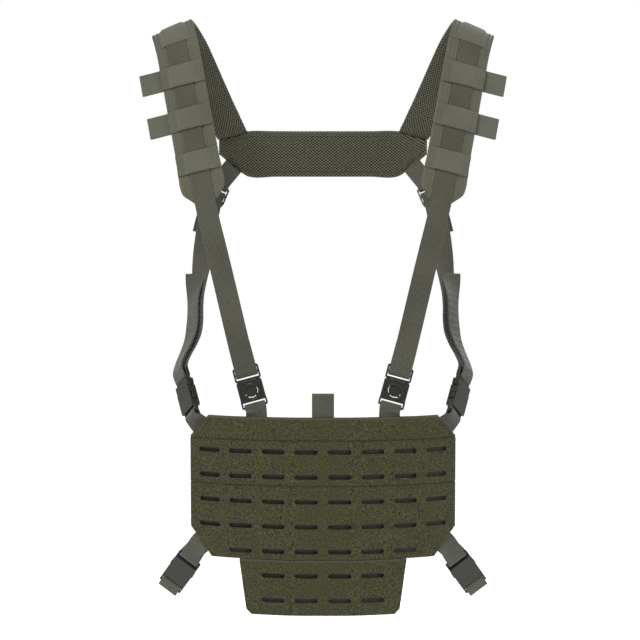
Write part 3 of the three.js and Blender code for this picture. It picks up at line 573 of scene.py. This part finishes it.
def moulded_plastic():
    """Satin plastic with a fine moulded grain and slightly polished edges."""
    material, s, shader = new_material("moulded_plastic", 0.42, specular=0.3)
    place = s.node("ShaderNodeTexCoord").outputs["Object"]
    soft = s.grain(place, 60.0, 2.0)
    s.link(s.mix(soft, shade(0.014, 0.014, 0.010), shade(0.021, 0.021, 0.015)), shader.inputs["Base Color"])
    edge = s.node("ShaderNodeNewGeometry").outputs["Pointiness"]
    polish = s.math("MULTIPLY", s.ramp(edge, 0.5, 0.56), -0.14)
    s.link(s.math("ADD", s.math("MULTIPLY_ADD", soft, 0.12, 0.34), polish), shader.inputs["Roughness"])
    bump(s, shader, s.grain(place, 1800.0, 2.0), 0.05 * MM, 0.5)
    return material


nylon = woven("pack_nylon", light=shade(0.114, 0.112, 0.075), dark=shade(0.076, 0.075, 0.048),
              rib=0.9 * MM, slant=0.6, depth=0.16 * MM)
band_webbing = woven("band_webbing", light=shade(0.128, 0.127, 0.094), dark=shade(0.078, 0.077, 0.056),
                     rib=1.9 * MM, slant=1.0, depth=0.40 * MM)
strap_webbing = woven("strap_webbing", light=shade(0.088, 0.086, 0.060), dark=shade(0.044, 0.043, 0.030),
                      rib=2.9 * MM, slant=-0.8, depth=0.55 * MM)
backing_cloth = woven("backing_cloth", light=shade(0.085, 0.085, 0.070), dark=shade(0.055, 0.055, 0.046),
                      rib=0.5 * MM, slant=0.0, depth=0.06 * MM)
thread = woven("sewing_thread", light=shade(0.105, 0.103, 0.072), dark=shade(0.07, 0.069, 0.048),
               rib=0.4 * MM, slant=1.0, depth=0.05 * MM)
mesh_fabric = spacer_mesh()
loop_fabric = loop_face()
plastic = moulded_plastic()

# ---- webbing ----

FACE_COLUMNS = 14
SELVEDGE = 1.4 * MM
FACE_THIN = 0.93  # thickness between the selvedges, as a share of theirs
EDGE_WIDE = 1.1  # how wide the rounding of an edge is, in half thicknesses
RIPPLE_PACE = 45  # how fast the ripples follow each other along a strap
RIPPLE_SHIFT = 300  # gives straps of other widths other ripples


def webbing_profile(half_width, half_thick):
    """Points round a section of webbing as (across, height): rounded selvedges and flat faces."""
    face = []
    for k in range(FACE_COLUMNS + 1):
        across = -math.cos(math.pi * k / FACE_COLUMNS)
        inset = (1 - abs(across)) * half_width
        round_off = min(1.0, inset / (EDGE_WIDE * half_thick))
        height = math.sqrt(max(0.0, 1 - (1 - round_off) ** 2))
        if inset > SELVEDGE:
            height *= FACE_THIN
        face.append((across, height))
    return face[1:] + [(across, -height) for across, height in reversed(face[:-1])]


def webbing(name, strip, material, start=0.0, end=None, spacing=1.6 * MM, ripple=0.18 * MM):
    """A length of webbing along a strip, with slow ripples, from start to end along it."""
    end = strip.length if end is None else end
    half_thick = strip.rise[0].length
    count = max(4, round((end - start) / spacing))
    rings, cloth = [], []
    for k in range(count + 1):
        along = start + (end - start) * k / count
        half_width = strip.half(along)
        wave = ripple * noise.noise(Vector((along * RIPPLE_PACE, half_width * RIPPLE_SHIFT, len(name))))
        profile = webbing_profile(half_width, half_thick)
        rings.append([strip.at(along, a, h, wave * (1 - a * a)) for a, h in profile])
        cloth.append([(a * half_width, along, 1.0) for a, h in profile])
    return loft(name, rings, cloth, material)


# ---- stitches ----

THREAD_SIDES = 6
# places along a stitch, each with its thickness and height as shares of the thread's radius
THREAD_SHAPE = ((0, 0.35, -1.0), (0.18, 0.95, 0.1), (0.5, 1.0, 0.45), (0.82, 0.95, 0.1), (1, 0.35, -1.0))
SHORTEST = 0.1 * MM
MEASURE_STEPS = 20
STITCH_CLEAR = 0.05 * MM  # how far the pad's stitches stand off its cover


class Stitches:
    """Threads sewn into a surface, gathered into one piece."""

    def __init__(self):
        self.mesh = bmesh.new()
        self.layer = self.mesh.verts.layers.float_vector.new("cloth")

    def add(self, start, end, outward, radius=0.24 * MM):
        """One stitch, with its middle raised and its ends sunk."""
        along = end - start
        length = along.length
        if length < SHORTEST:
            return
        along.normalize()
        side = outward.cross(along).normalized()
        up = along.cross(side)
        rings = []
        for share, size, height in THREAD_SHAPE:
            ring = []
            for k in range(THREAD_SIDES):
                turn = 2 * math.pi * k / THREAD_SIDES
                spot = start + along * (length * share) + up * (radius * height)
                spot += (side * math.cos(turn) + up * math.sin(turn)) * (radius * size)
                vert = self.mesh.verts.new(spot)
                vert[self.layer] = (radius * turn, length * share, 1.0)
                ring.append(vert)
            rings.append(ring)
        for a, b in zip(rings, rings[1:]):
            for k in range(THREAD_SIDES):
                n = (k + 1) % THREAD_SIDES
                self.mesh.faces.new((a[k], a[n], b[n], b[k]))
        self.mesh.faces.new(rings[0])
        self.mesh.faces.new(rings[-1])

    def line(self, place, start, end, pitch=3.0 * MM, share=0.78):
        """A row of stitches. place(t) gives a point and its outward direction for t from start to end."""
        spots = [place(start + (end - start) * k / MEASURE_STEPS)[0] for k in range(MEASURE_STEPS + 1)]
        run = sum((after - before).length for before, after in zip(spots, spots[1:]))
        count = max(1, round(run / pitch))
        for k in range(count):
            first = start + (end - start) * k / count
            second = first + (end - start) * share / count
            a, outward = place(first)
            b, _ = place(second)
            self.add(a, b, outward)

    def piece(self, name, body, beside):
        bmesh.ops.recalc_face_normals(self.mesh, faces=self.mesh.faces)
        piece = new_object(name, self.mesh, thread)
        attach(piece, body)
        return piece


def on_strip(strip, across, height, lift=0.0):
    """A place function along a strip, for a row of stitches."""
    return lambda along: (strip.at(along, across, height, lift), strip.outward(along))


def beside_middle(strip, aside):
    """A place function along a strip, at a distance from its middle."""
    return lambda along: (strip.at(along, aside / strip.half(along), 1, STITCH_CLEAR), strip.outward(along))


def across_strip(strip, along, height, lift=0.0):
    """A place function across a strip."""
    return lambda across: (strip.at(along, across, height, lift), strip.outward(along))


# ---- shoulder pads ----

PAD_COLUMNS = 14
PAD_SPACING = 3.4 * MM
EDGE_RISE = 1.25  # how far the open face comes up to the sewn edge, in half thicknesses
BACK_DROP = 0.2  # how far the covered face drops at the edge, in half thicknesses
END_ROWS = (0.0, 0.5 * MM, 1.4 * MM)
END_GAP = 3 * MM  # from the end of the padding to the first of its even rows
EDGE_COLUMN = 0.97  # a last column close to the edge, as a share of the half width
PAD_NARROWED = 0.995
FULL_AT = 7 * MM  # the padding has its full height this far from its edge
HELD_WITHIN = 5 * MM  # the padding is held this far from its edge while it fills
CLOTH = {
    "vertex_group_mass": "sewn", "quality": 4, "mass": 0.4,
    "use_pressure": True, "uniform_pressure_force": 2.2,
    "tension_stiffness": 40, "compression_stiffness": 40, "shear_stiffness": 20, "bending_stiffness": 2,
}
SIM_FRAMES = 14
MOVE_CAP = 1.6 * MM  # the furthest that filling moves a point


def padding_rings(strip, start):
    """Rings of points round the padding, their places on the cloth, and which are sewn down."""
    run = strip.length - start - 2 * END_GAP
    count = round(run / PAD_SPACING)
    inner = [start + END_GAP + run * k / count for k in range(count + 1)]
    rows = [start + row for row in END_ROWS] + inner + [strip.length - row for row in reversed(END_ROWS)]
    columns = [2 * j / PAD_COLUMNS - 1 for j in range(PAD_COLUMNS + 1)]
    columns = [columns[0], -EDGE_COLUMN] + columns[1:-1] + [EDGE_COLUMN, columns[-1]]
    rings, cloth, pins, insets = [], [], [], []
    for along in rows:
        half = strip.half(along)
        end = min(along - start, strip.length - along)
        ring, places, held, margins = [], [], [], []
        for face, line in ((1, columns), (-1, columns[::-1])):
            for across in line:
                inset = min((1 - abs(across)) * half, end)
                full = ease(inset / FULL_AT) ** 0.5
                height = 1 - BACK_DROP + BACK_DROP * full if face > 0 else -1 + (1 - full) * EDGE_RISE
                ring.append(strip.at(along, across * PAD_NARROWED, height))
                places.append((across * half, along, 0.0 if face > 0 else 1.0))
                held.append(1.0 if face > 0 or inset < HELD_WITHIN else 0.0)
                margins.append((1 - abs(across)) * half)
        rings.append(ring)
        cloth.append(places)
        pins.append(held)
        insets.append(margins)
    return rings, cloth, pins, insets


def inflate(piece, pins):
    """Fills a padded piece with a short cloth simulation, held where it is sewn."""
    group = piece.vertex_groups.new(name="sewn")
    for index, weight in enumerate(pins):
        group.add([index], weight, "REPLACE")
    cloth = modify(piece, "CLOTH")
    for key, value in CLOTH.items():
        setattr(cloth.settings, key, value)
    cloth.settings.effector_weights.gravity = 0
    cloth.point_cache.frame_end = SIM_FRAMES
    before = [vert.co.copy() for vert in piece.data.vertices]
    for number in range(1, SIM_FRAMES + 1):
        bpy.context.scene.frame_set(number)
    apply_modifiers(piece)
    for vert, start in zip(piece.data.vertices, before):
        moved = vert.co - start
        if moved.length > MOVE_CAP:
            vert.co = start + moved.normalized() * MOVE_CAP
    bpy.context.scene.frame_set(1)


HOLE_DEEP = 0.7 * MM
SEAM_INSET = 5.5 * MM  # a row of stitches pulls the padding in along this line
SEAM_WIDE = 1.9 * MM
SEAM_DEEP = 1.1 * MM


def knit(piece):
    """Subdivides the padding and presses the holes of the spacer mesh into its open face."""
    modify(piece, "SUBSURF", subdivision_type="CATMULL_CLARK", levels=2, render_levels=2)
    apply_modifiers(piece)
    data = piece.data
    places = [0.0] * (3 * len(data.vertices))
    data.attributes["cloth"].data.foreach_get("vector", places)
    insets = [0.0] * len(data.vertices)
    data.attributes["inset"].data.foreach_get("value", insets)
    normals = [vert.normal.copy() for vert in data.vertices]
    for index, vert in enumerate(data.vertices):
        across, along, open_face = places[3 * index:3 * index + 3]
        wave = math.cos(2 * math.pi * across / LATTICE_ACROSS)
        wave += math.cos(2 * math.pi * along / LATTICE_ALONG)
        hole = ease((abs(wave) - HOLE_FROM) / HOLE_SLOPE)
        seam = 1 - ease(abs(insets[index] - SEAM_INSET) / SEAM_WIDE)
        vert.co -= normals[index] * ((HOLE_DEEP * hole * (1 - seam) + SEAM_DEEP * seam) * open_face)
    shade_smooth(data)


def make_padding(name, strip, node, start=0.0):
    """A length of padding, filled and knitted, that begins at start along its strip."""
    rings, cloth, pins, insets = padding_rings(strip, start)
    piece = loft(name, rings, cloth, mesh_fabric, insets)
    inflate(piece, [pin for row in pins for pin in row])
    knit(piece)
    finish_piece(piece, MAIN, "spacer_mesh", node)
    return piece


SEWN_LINES = (16.5 * MM, 21.0 * MM)  # rows of stitches, from the middle of the pad
COVER_PUFF = 0.95 * MM
COVER_COLUMNS = 64
COVER_SPACING = 2.2 * MM
FLAT_HALF = 12 * MM  # the cover lies flat this far from its middle, under the strap
PUFF_EDGE = 2 * MM  # how far the puffing takes to begin
SEAM_PINCH = 1.6 * MM  # how far a row of stitches holds the puffing down
STITCH_SINK = 0.15 * MM
BAND_PINCH = 9 * MM  # how far a cross band holds the puffing down
EDGE_ROLL = 1.2 * MM
EDGE_THIN = 0.25  # thickness at the very edge, as a share of the whole
WIDTH_STEPS = 100


def make_cover(name, strip, node, bands, start=0.0):
    """The nylon skin over the padding: rolled at its edges, and puffed a little between the cross bands."""
    run = strip.length - start
    count = round(run / COVER_SPACING)
    shape = [2 * j / COVER_COLUMNS - 1 for j in range(COVER_COLUMNS + 1)]
    rings, cloth = [], []
    for k in range(count + 1):
        along = start + run * k / count
        half = strip.half(along)
        between = 1.0
        for low, high in bands:
            between = min(between, ease(max(low - along, along - high) / BAND_PINCH))
        ring, places = [], []
        for face, row in ((1, shape[1:]), (-1, shape[::-1][1:])):
            for across in row:
                inset = (1 - abs(across)) * half
                aside = abs(across) * half
                out_by = ease((aside - FLAT_HALF) / PUFF_EDGE) * ease(inset / PUFF_EDGE)
                near = min(abs(aside - line) for line in SEWN_LINES)
                puff = (COVER_PUFF * ease(near / SEAM_PINCH) - STITCH_SINK) * out_by * between
                edge = ease(inset / EDGE_ROLL) ** 0.5
                height = face * (EDGE_THIN + (1 - EDGE_THIN) * edge)
                ring.append(strip.at(along, across, height, puff if face > 0 else 0.0))
                places.append((across * half, along, 1.0))
        rings.append(ring)
        cloth.append(places)
    piece = loft(name, rings, cloth, nylon)
    finish_piece(piece, MAIN, "nylon", node)
    step = run / WIDTH_STEPS
    widths = [2 * strip.half(start + step * (k + 0.5)) for k in range(WIDTH_STEPS)]
    return piece


BAND_STEP = 3.5 * MM  # how far a band takes to climb over the strap
BAND_CLIMB = 1.9 * MM
BAND_CROWN = 0.35 * MM
BAND_COLUMNS = 40
BAND_NARROWED = 0.99
BAND_SHARP = 55  # the fold, in degrees, that makes an edge of a band's solid a long one


def make_band(name, node, pad, strap_half):
    """A cross band: sewn flat at both edges of the pad and lifted over the strap between them."""
    solid = Strip(slab_corners(node, BAND_SHARP))
    centre = pad.nearest(middle_of(node))
    length = 2 * solid.half(solid.length / 2)
    start, end = centre - length / 2, centre + length / 2
    half = pad.half(centre)
    outward = pad.outward(centre)
    base = max(0.0, (solid.middle[0] - pad.at(centre, 0, 1)).dot(outward))
    thick = solid.rise[0].length
    rings, cloth = [], []
    for k in range(BAND_COLUMNS + 1):
        across = -1 + 2 * k / BAND_COLUMNS
        aside = abs(across) * half
        climb = ease((strap_half + BAND_STEP - aside) / BAND_STEP)
        lift = base + climb * BAND_CLIMB
        crown = BAND_CROWN * climb * (1 - (aside / (strap_half + BAND_STEP)) ** 2)
        ring, places = [], []
        for a, h in webbing_profile((end - start) / 2, thick):
            along = (start + end) / 2 + a * (end - start) / 2
            ring.append(pad.at(along, across * BAND_NARROWED, 1, lift + crown + h * thick))
            places.append((aside if across > 0 else -aside, along, 1.0))
        rings.append(ring)
        cloth.append(places)
    piece = loft(name, rings, cloth, band_webbing)
    finish_piece(piece, MAIN, "webbing", node)
    return start, end, base + thick


TACK_ROWS = (2.0 * MM, 6.5 * MM)  # rows of bar tacks, from the edge of the pad
TACK_MARGIN = 2 * MM
TACK_PITCH = 1.3 * MM
TACK_HALF = 0.9 * MM
TACK_THREAD = 0.2 * MM


def band_stitches(sewn, pad, start, end, lift):
    """Bar tacks at both ends of a band: close zigzag rows."""
    half = pad.half((start + end) / 2)
    run = end - start - 2 * TACK_MARGIN
    count = round(run / TACK_PITCH)
    for side in (-1, 1):
        for inset in TACK_ROWS:
            aside = half - inset
            for k in range(count):
                along = start + TACK_MARGIN + run * k / count
                near = pad.at(along, side * (aside - TACK_HALF) / half, 1, lift)
                far = pad.at(along + TACK_PITCH / 2, side * (aside + TACK_HALF) / half, 1, lift)
                outward = pad.outward(along)
                sewn.add(near, far, outward, TACK_THREAD)


SEAM_LAP = 2.6 * MM  # how far a pad's back end is drawn into the seam with the yoke
SEWN_FROM_BACK = 34 * MM  # where the rows of stitches begin and end, from the ends of the pad
SEWN_TO_TIP = 20 * MM
for hand in HANDS:
    padding_strip = from_back(f"pad_mesh_{hand}")
    cover_strip = from_back(f"pad_cover_{hand}")
    centre = padding_strip.smooth(padding_strip.middle, padding_strip.length / 2)
    cover_at = cover_strip.smooth(cover_strip.middle, cover_strip.nearest(centre))
    for strip in (padding_strip, cover_strip):
        if strip.smooth(strip.rise, strip.nearest(centre)).dot(cover_at - centre) < 0:
            strip.turned_over()
    sewn = Stitches()
    bands = []
    strap = Strip(webbing_corners(f"front_strap_{hand}"))
    strap_half = strap.side[0].length
    for number in range(1, 5):
        start, end, lift = make_band(f"band_{hand}_{number}", f"cross_band_{hand}_{number}", cover_strip,
                                     strap_half)
        bands.append((start, end))
        band_stitches(sewn, cover_strip, start, end, lift)
    padding = make_padding(f"padding_{hand}", padding_strip, f"pad_mesh_{hand}", -SEAM_LAP)
    make_cover(f"cover_{hand}", cover_strip, f"pad_cover_{hand}", bands, -SEAM_LAP)
    for side in (-1, 1):
        for line in SEWN_LINES:
            place = beside_middle(cover_strip, side * line)
            sewn.line(place, SEWN_FROM_BACK, cover_strip.length - SEWN_TO_TIP)
    sewn.piece(f"pad_stitches_{hand}", MAIN, "nylon")

# ---- yoke ----

yoke_padding = facing(Strip(slab_corners("yoke_mesh")), Vector((0, 1, 0)))
yoke_skin = facing(Strip(slab_corners("yoke_cover")), Vector((0, 1, 0)))
padding = make_padding("yoke_padding", yoke_padding, "yoke_mesh")
make_cover("yoke_skin", yoke_skin, "yoke_cover", [])
yoke_sewn = Stitches()
YOKE_MARGIN = 4 * MM
for side in (-1, 1):
    # each strip with the place of its stitches across it, the face they lie on and their lift
    for strip, share, face, lift in ((yoke_skin, 0.86, 1, 0.1 * MM), (yoke_padding, 0.84, -1, 0.35 * MM)):
        yoke_sewn.line(on_strip(strip, side * share, face, lift), YOKE_MARGIN, strip.length - YOKE_MARGIN)
yoke_sewn.piece("yoke_stitches", MAIN, "nylon")

# ---- straps, loops and tabs ----

LOOP_SEWN_IN = 4 * MM  # how far the loop under the yoke runs into its seam
TAB_LINES = (0.40, 0.47)  # rows of stitches, as shares of a tab's length
TAB_REACH = 0.88
TAB_PITCH = 2.4 * MM
TAB_CLEAR = 0.12 * MM


def strip_of(node):
    return Strip(webbing_corners(node))


def over_joint(piece, node):
    """Webbing that runs from the rig at start to a moving clip half at end: hides its solid and puts its
    place into its own mesh.
    """
    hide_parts(node)
    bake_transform(piece)


for hand in HANDS:
    # the front strap bends up to its clip
    strip = strip_of(f"front_strap_{hand}")
    piece = webbing(f"strap_front_{hand}", strip, strap_webbing)
    clip = middle_of(f"front_clip_{hand}_ladder")
    over_joint(piece, f"front_strap_{hand}")

    strip = strip_of(f"rear_strap_{hand}")
    piece = webbing(f"strap_rear_{hand}", strip, strap_webbing)
    over_joint(piece,
               f"rear_strap_{hand}")

    for node in (f"top_loop_{hand}", f"bottom_loop_{hand}", f"front_loop_{hand}", f"lock_loop_{hand}"):
        strip = strip_of(node)
        sewn_in = LOOP_SEWN_IN if node.startswith("lock") else 0.0
        piece = webbing(f"{node}_webbing", strip, strap_webbing, -sewn_in, strip.length + sewn_in)
        finish_piece(piece, MAIN, "webbing", node)

    for level in ("upper", "lower"):
        node = f"side_tab_{hand}_{level}"
        strip = strip_of(node)
        piece = webbing(f"tab_{hand}_{level}", strip, band_webbing)
        finish_piece(piece, MAIN, "webbing", node)
        if abs(strip.middle[0].x) > abs(strip.middle[-1].x):
            strip = Strip(webbing_corners(node)[::-1])
        tab_sewn = Stitches()
        for share in TAB_LINES:
            for height in (-1, 1):
                place = across_strip(strip, strip.length * share, height, TAB_CLEAR * height)
                tab_sewn.line(place, -TAB_REACH, TAB_REACH, TAB_PITCH)
        tab_sewn.piece(f"tab_stitches_{hand}_{level}", MAIN, "webbing")

waist = strip_of("waist_strap")
if waist.middle[0].x > 0:
    waist = Strip(webbing_corners("waist_strap")[::-1])
half_way = waist.length / 2
for hand in HANDS:
    start, end = (0.0, half_way) if hand == "left" else (half_way, waist.length)
    piece = webbing(f"strap_waist_{hand}", waist, strap_webbing, start, end)
    middle = waist.smooth(waist.middle, half_way)
    over_joint(piece, "waist_strap")

pull = strip_of("pull_tab")
piece = webbing("pull_loop", pull, strap_webbing)
finish_piece(piece, MAIN, "webbing", "pull_tab")

# ---- panel and flap ----

VOXEL = 0.85 * MM
PANEL_SEAM_WIDE = 1.5 * MM
PANEL_SEAM_DEEP = 0.55 * MM
BORDER_HIGH = 1.6 * MM  # the bound border along the panel's top, and how softly it ends
BORDER_SOFT = 0.8 * MM
PILE_HIGH = 0.16 * MM
PILE_COARSE = 900  # how close the tangles of the pile lie, coarse and fine
PILE_FINE = 1900
LINING_SLICE = 4 * MM
LINING_ROUND = 0.3 * MM
FLAT_TO = math.radians(1)  # faces that meet at less than this are merged


def facet_lines(node):
    """The panel's front as flat strips: each one's slope, and its y where x is 0."""
    lines = {}
    mesh = welded(node)
    for face in mesh.faces:
        normal = face.normal
        if normal.y < -0.5 and abs(normal.z) < 0.05:
            slope = -normal.x / normal.y
            spot = face.verts[0].co
            lines[round(slope, 3)] = (slope, spot.y - slope * spot.x)
    mesh.free()
    return list(lines.values())


FACETS = facet_lines("panel_front")
CURVE_REACH = 18 * MM  # each bend between two strips is spread over this much to either side


def bend_back(x):
    """How far back a place on the panel goes when its flat strips are smoothed into one curve."""
    def front(at):
        return max(slope * at + level for slope, level in FACETS)

    steps = 12
    around = [front(x + CURVE_REACH * (2 * k / steps - 1)) for k in range(steps + 1)]
    return sum(around) / len(around) - front(x)


def cut_fine(mesh, step):
    """Cuts a mesh into upright slices, so that it can follow a curve."""
    low = min(vert.co.x for vert in mesh.verts)
    high = max(vert.co.x for vert in mesh.verts)
    for k in range(1, int((high - low) / step)):
        everything = mesh.verts[:] + mesh.edges[:] + mesh.faces[:]
        bmesh.ops.bisect_plane(mesh, geom=everything, plane_co=(low + k * step, 0, 0), plane_no=(1, 0, 0))


def pile_noise(point):
    return (noise.noise(point * PILE_COARSE) + 0.6 * noise.noise(point * PILE_FINE)) * PILE_HIGH


def make_panel(name, node, body, seams=()):
    """The face layer of the panel or flap, with its seams pressed in and a napped surface."""
    piece = new_object(name, welded(node), loop_fabric)
    top_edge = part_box(node)[1].z
    modify(piece, "REMESH", mode="VOXEL", voxel_size=VOXEL)
    modify(piece, "SMOOTH", factor=0.5, iterations=3)
    apply_modifiers(piece)
    data = piece.data
    normals = [vert.normal.copy() for vert in data.vertices]
    border = data.attributes.new("border", "FLOAT", "POINT")
    # the seam mask also goes to the loop face's shader, which paints shade into the grooves
    seam = data.attributes.new("seam", "FLOAT", "POINT")
    tops, pressed = [], []
    for index, vert in enumerate(data.vertices):
        spot = vert.co.copy()
        near = min((abs(spot.z - level) for level in seams), default=1.0)
        dip = 1 - ease(near / PANEL_SEAM_WIDE)
        top = 1 - ease((top_edge - spot.z - BORDER_HIGH) / BORDER_SOFT)
        tops.append(top)
        pressed.append(dip)
        vert.co += normals[index] * (pile_noise(spot) * (1 - top) - PANEL_SEAM_DEEP * dip)
        vert.co.y += bend_back(spot.x)
    border.data.foreach_set("value", tops)
    seam.data.foreach_set("value", pressed)
    shade_smooth(data)
    return finish_piece(piece, body, "loop_face", node)


def make_lining(name, node, body):
    """The plain inner layer of the panel or flap, bent like its face, with its edges rounded."""
    mesh = welded(node)
    bmesh.ops.dissolve_limit(mesh, angle_limit=FLAT_TO, verts=mesh.verts, edges=mesh.edges)
    cut_fine(mesh, LINING_SLICE)
    layer = mesh.verts.layers.float_vector.new("cloth")
    for vert in mesh.verts:
        vert[layer] = (vert.co.x, vert.co.z, 1.0)
        vert.co.y += bend_back(vert.co.x)
    piece = new_object(name, mesh, backing_cloth)
    modify(piece, "BEVEL", width=LINING_ROUND, segments=2, limit_method="ANGLE", angle_limit=math.radians(50))
    apply_modifiers(piece)
    piece.data.set_sharp_from_angle(angle=math.radians(35))
    return finish_piece(piece, body, "backing", node)


TOP_SEAM = 26 * MM  # the panel's two seams, below its top edge
MIDDLE_SEAM = 78 * MM
panel_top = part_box("panel_front")[1].z
make_panel("panel_face", "panel_front", MAIN, (panel_top - TOP_SEAM, panel_top - MIDDLE_SEAM))
make_panel("flap_face", "flap_front", "flap")
make_lining("panel_lining", "panel_back", MAIN)
make_lining("flap_lining", "flap_back", "flap")

# ---- clips and locks ----

EDGE_ROUND = 0.35 * MM
ROUND_FROM = math.radians(28)  # outer edges sharper than this are rounded
RING_SUNK = 0.3 * MM  # how far a ring's foot reaches into the face it stands on
COLLAR = (7.6 * MM, 10.0 * MM, 1.1 * MM)  # inner and outer radius, and height
FLAT_WITHIN = 0.05 * MM  # how far behind the foremost point a point still counts as on the front


def make_moulding(name, node, body):
    """A plastic moulding: the solid with its outer edges rounded. Inner corners stay as they are."""
    mesh = welded(node)
    bmesh.ops.dissolve_limit(mesh, angle_limit=FLAT_TO, verts=mesh.verts, edges=mesh.edges)
    rounded = mesh.edges.layers.float.new("bevel_weight_edge")
    for edge in mesh.edges:
        sharp = edge.calc_face_angle_signed(0) > ROUND_FROM
        edge[rounded] = 1.0 if sharp else 0.0
    piece = new_object(name, mesh, plastic)
    modify(piece, "BEVEL", width=EDGE_ROUND, segments=3, limit_method="WEIGHT")
    modify(piece, "WEIGHTED_NORMAL", keep_sharp=True)
    apply_modifiers(piece)
    return finish_piece(piece, body, "plastic", node)


def front_of(node, normal):
    """The middle of the face of a solid that stands farthest along a direction."""
    mesh = welded(node)
    reach = max(vert.co.dot(normal) for vert in mesh.verts)
    spots = [vert.co.copy() for vert in mesh.verts if vert.co.dot(normal) > reach - FLAT_WITHIN]
    mesh.free()
    middle = normal * reach
    aside = normal.orthogonal().normalized()
    for way in (aside, normal.cross(aside)):
        places = [spot.dot(way) for spot in spots]
        middle += way * ((min(places) + max(places)) / 2)
    return middle


def flat_front(node):
    """The direction in which a solid's largest forward face looks."""
    mesh = welded(node)
    areas = {}
    for face in mesh.faces:
        if face.normal.y < -0.3:
            key = tuple(round(part, 2) for part in face.normal)
            areas[key] = areas.get(key, 0.0) + face.calc_area()
    mesh.free()
    return Vector(max(areas, key=areas.get)).normalized()


def make_ring(name, centre, axis, inner, outer, height, body):
    """A raised moulded ring with a rounded top, standing on a flat face."""
    aside = axis.orthogonal().normalized()
    up = axis.cross(aside)
    steps, arc = 64, 10
    profile = []
    for k in range(arc + 1):
        turn = math.pi * k / arc
        radius = (inner + outer) / 2 - math.cos(turn) * (outer - inner) / 2
        profile.append((radius, height * math.sin(turn) ** 0.6))
    profile += [(outer, -RING_SUNK), (inner, -RING_SUNK)]
    mesh = bmesh.new()
    rows = []
    for k in range(steps):
        turn = 2 * math.pi * k / steps
        way = aside * math.cos(turn) + up * math.sin(turn)
        rows.append([mesh.verts.new(centre + way * radius + axis * rise) for radius, rise in profile])
    for k in range(steps):
        here, there = rows[k], rows[(k + 1) % steps]
        for j in range(len(profile)):
            after = (j + 1) % len(profile)
            mesh.faces.new((here[j], here[after], there[after], there[j]))
    bmesh.ops.recalc_face_normals(mesh, faces=mesh.faces)
    piece = new_object(name, mesh, plastic)
    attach(piece, body)
    return piece


for hand in HANDS:
    front = flat_front(f"front_clip_{hand}_housing")
    button = front_of(f"front_clip_{hand}_button", front)
    level = front_of(f"front_clip_{hand}_housing", front).dot(front)
    collar_at = button + front * (level - button.dot(front))
    make_ring(f"clip_collar_{hand}", collar_at, front, *COLLAR, MAIN)
    for end in ("top", "bottom"):
        clip = f"{end}_clip_{hand}"
        make_moulding(f"{end}_socket_{hand}", f"{clip}_socket", MAIN)
        make_moulding(f"{end}_plug_half_{hand}", f"{clip}_plug", f"{end}_plug_{hand}")
        for arm in ("a", "b"):
            make_moulding(f"{end}_spring_arm_{arm}_{hand}", f"{clip}_arm_{arm}", f"{end}_arm_{arm}_{hand}")
    clip = f"front_clip_{hand}"
    make_moulding(f"clip_housing_{hand}", f"{clip}_housing", MAIN)
    make_moulding(f"clip_ladder_{hand}", f"{clip}_ladder", f"front_ladder_{hand}")
    make_moulding(f"clip_button_{hand}", f"{clip}_button", f"front_button_{hand}")
    make_moulding(f"strap_lock_{hand}", f"ladder_lock_{hand}", MAIN)

# ---- stage, light and camera ----

BACKDROP = 1.0  # how bright the backdrop looks
SOFT_LIGHT = 0.42  # how much light comes from all round
FLOOR_GLOW = 0.64  # lifts the floor to the brightness of the backdrop
FLOOR_HALF = 6.0
FLOOR_BELOW = 0.35
MIDDLE = (0, 0, -0.33)
# each light's name, place, aim, size in metres and power in watts
LIGHTS = (
    ("key", (-0.9, -1.5, 1.9), (0, 0, -0.1), 1.2, 62),
    ("fill", (1.6, -1.6, 0.5), MIDDLE, 1.6, 16),
    ("back", (0.3, 1.6, 1.2), MIDDLE, 1.2, 14),
)
LENS = 95
SENSOR = 36
CAMERA_AT = (0, -2.042, -0.178)
CAMERA_AIM = (-0.0036, -0.020, -0.340)


def make_stage():
    mesh = bmesh.new()
    floor_z = cad_box[0][2] - FLOOR_BELOW
    corners = [(-1, -1), (1, -1), (1, 1), (-1, 1)]
    mesh.faces.new([mesh.verts.new((x * FLOOR_HALF, y * FLOOR_HALF, floor_z)) for x, y in corners])
    material, s, shader = new_material("pale_floor", 0.9)
    shader.inputs["Base Color"].default_value = shade(0.8, 0.8, 0.8)
    shader.inputs["Emission Color"].default_value = shade(1, 1, 1)
    shader.inputs["Emission Strength"].default_value = FLOOR_GLOW
    floor = new_object("floor", mesh, material)
    world = bpy.data.worlds.new("studio")
    world.use_nodes = True
    s = Graph(world.node_tree)
    seen = s.node("ShaderNodeLightPath").outputs["Is Camera Ray"]
    sky = world.node_tree.nodes["Background"]
    sky.inputs[0].default_value = shade(1, 1, 1)
    s.link(s.math("MULTIPLY_ADD", seen, BACKDROP - SOFT_LIGHT, SOFT_LIGHT), sky.inputs[1])
    bpy.context.scene.world = world
    bpy.context.scene.view_settings.view_transform = "Standard"


def add_light(name, place, aim, size, power):
    data = bpy.data.lights.new(name, "AREA")
    data.shape = "DISK"
    data.size = size
    data.energy = power
    light = bpy.data.objects.new(name, data)
    light.location = place
    light.rotation_euler = (Vector(aim) - Vector(place)).to_track_quat("-Z", "Y").to_euler()
    bpy.context.scene.collection.objects.link(light)


def add_camera():
    data = bpy.data.cameras.new("camera")
    data.lens = LENS
    data.sensor_width = SENSOR
    camera = bpy.data.objects.new("camera", data)
    camera.location = CAMERA_AT
    aim = Vector(CAMERA_AIM) - camera.location
    camera.rotation_euler = aim.to_track_quat("-Z", "Y").to_euler()
    bpy.context.scene.collection.objects.link(camera)
    bpy.context.scene.camera = camera


make_stage()
for light in LIGHTS:
    add_light(*light)
add_camera()
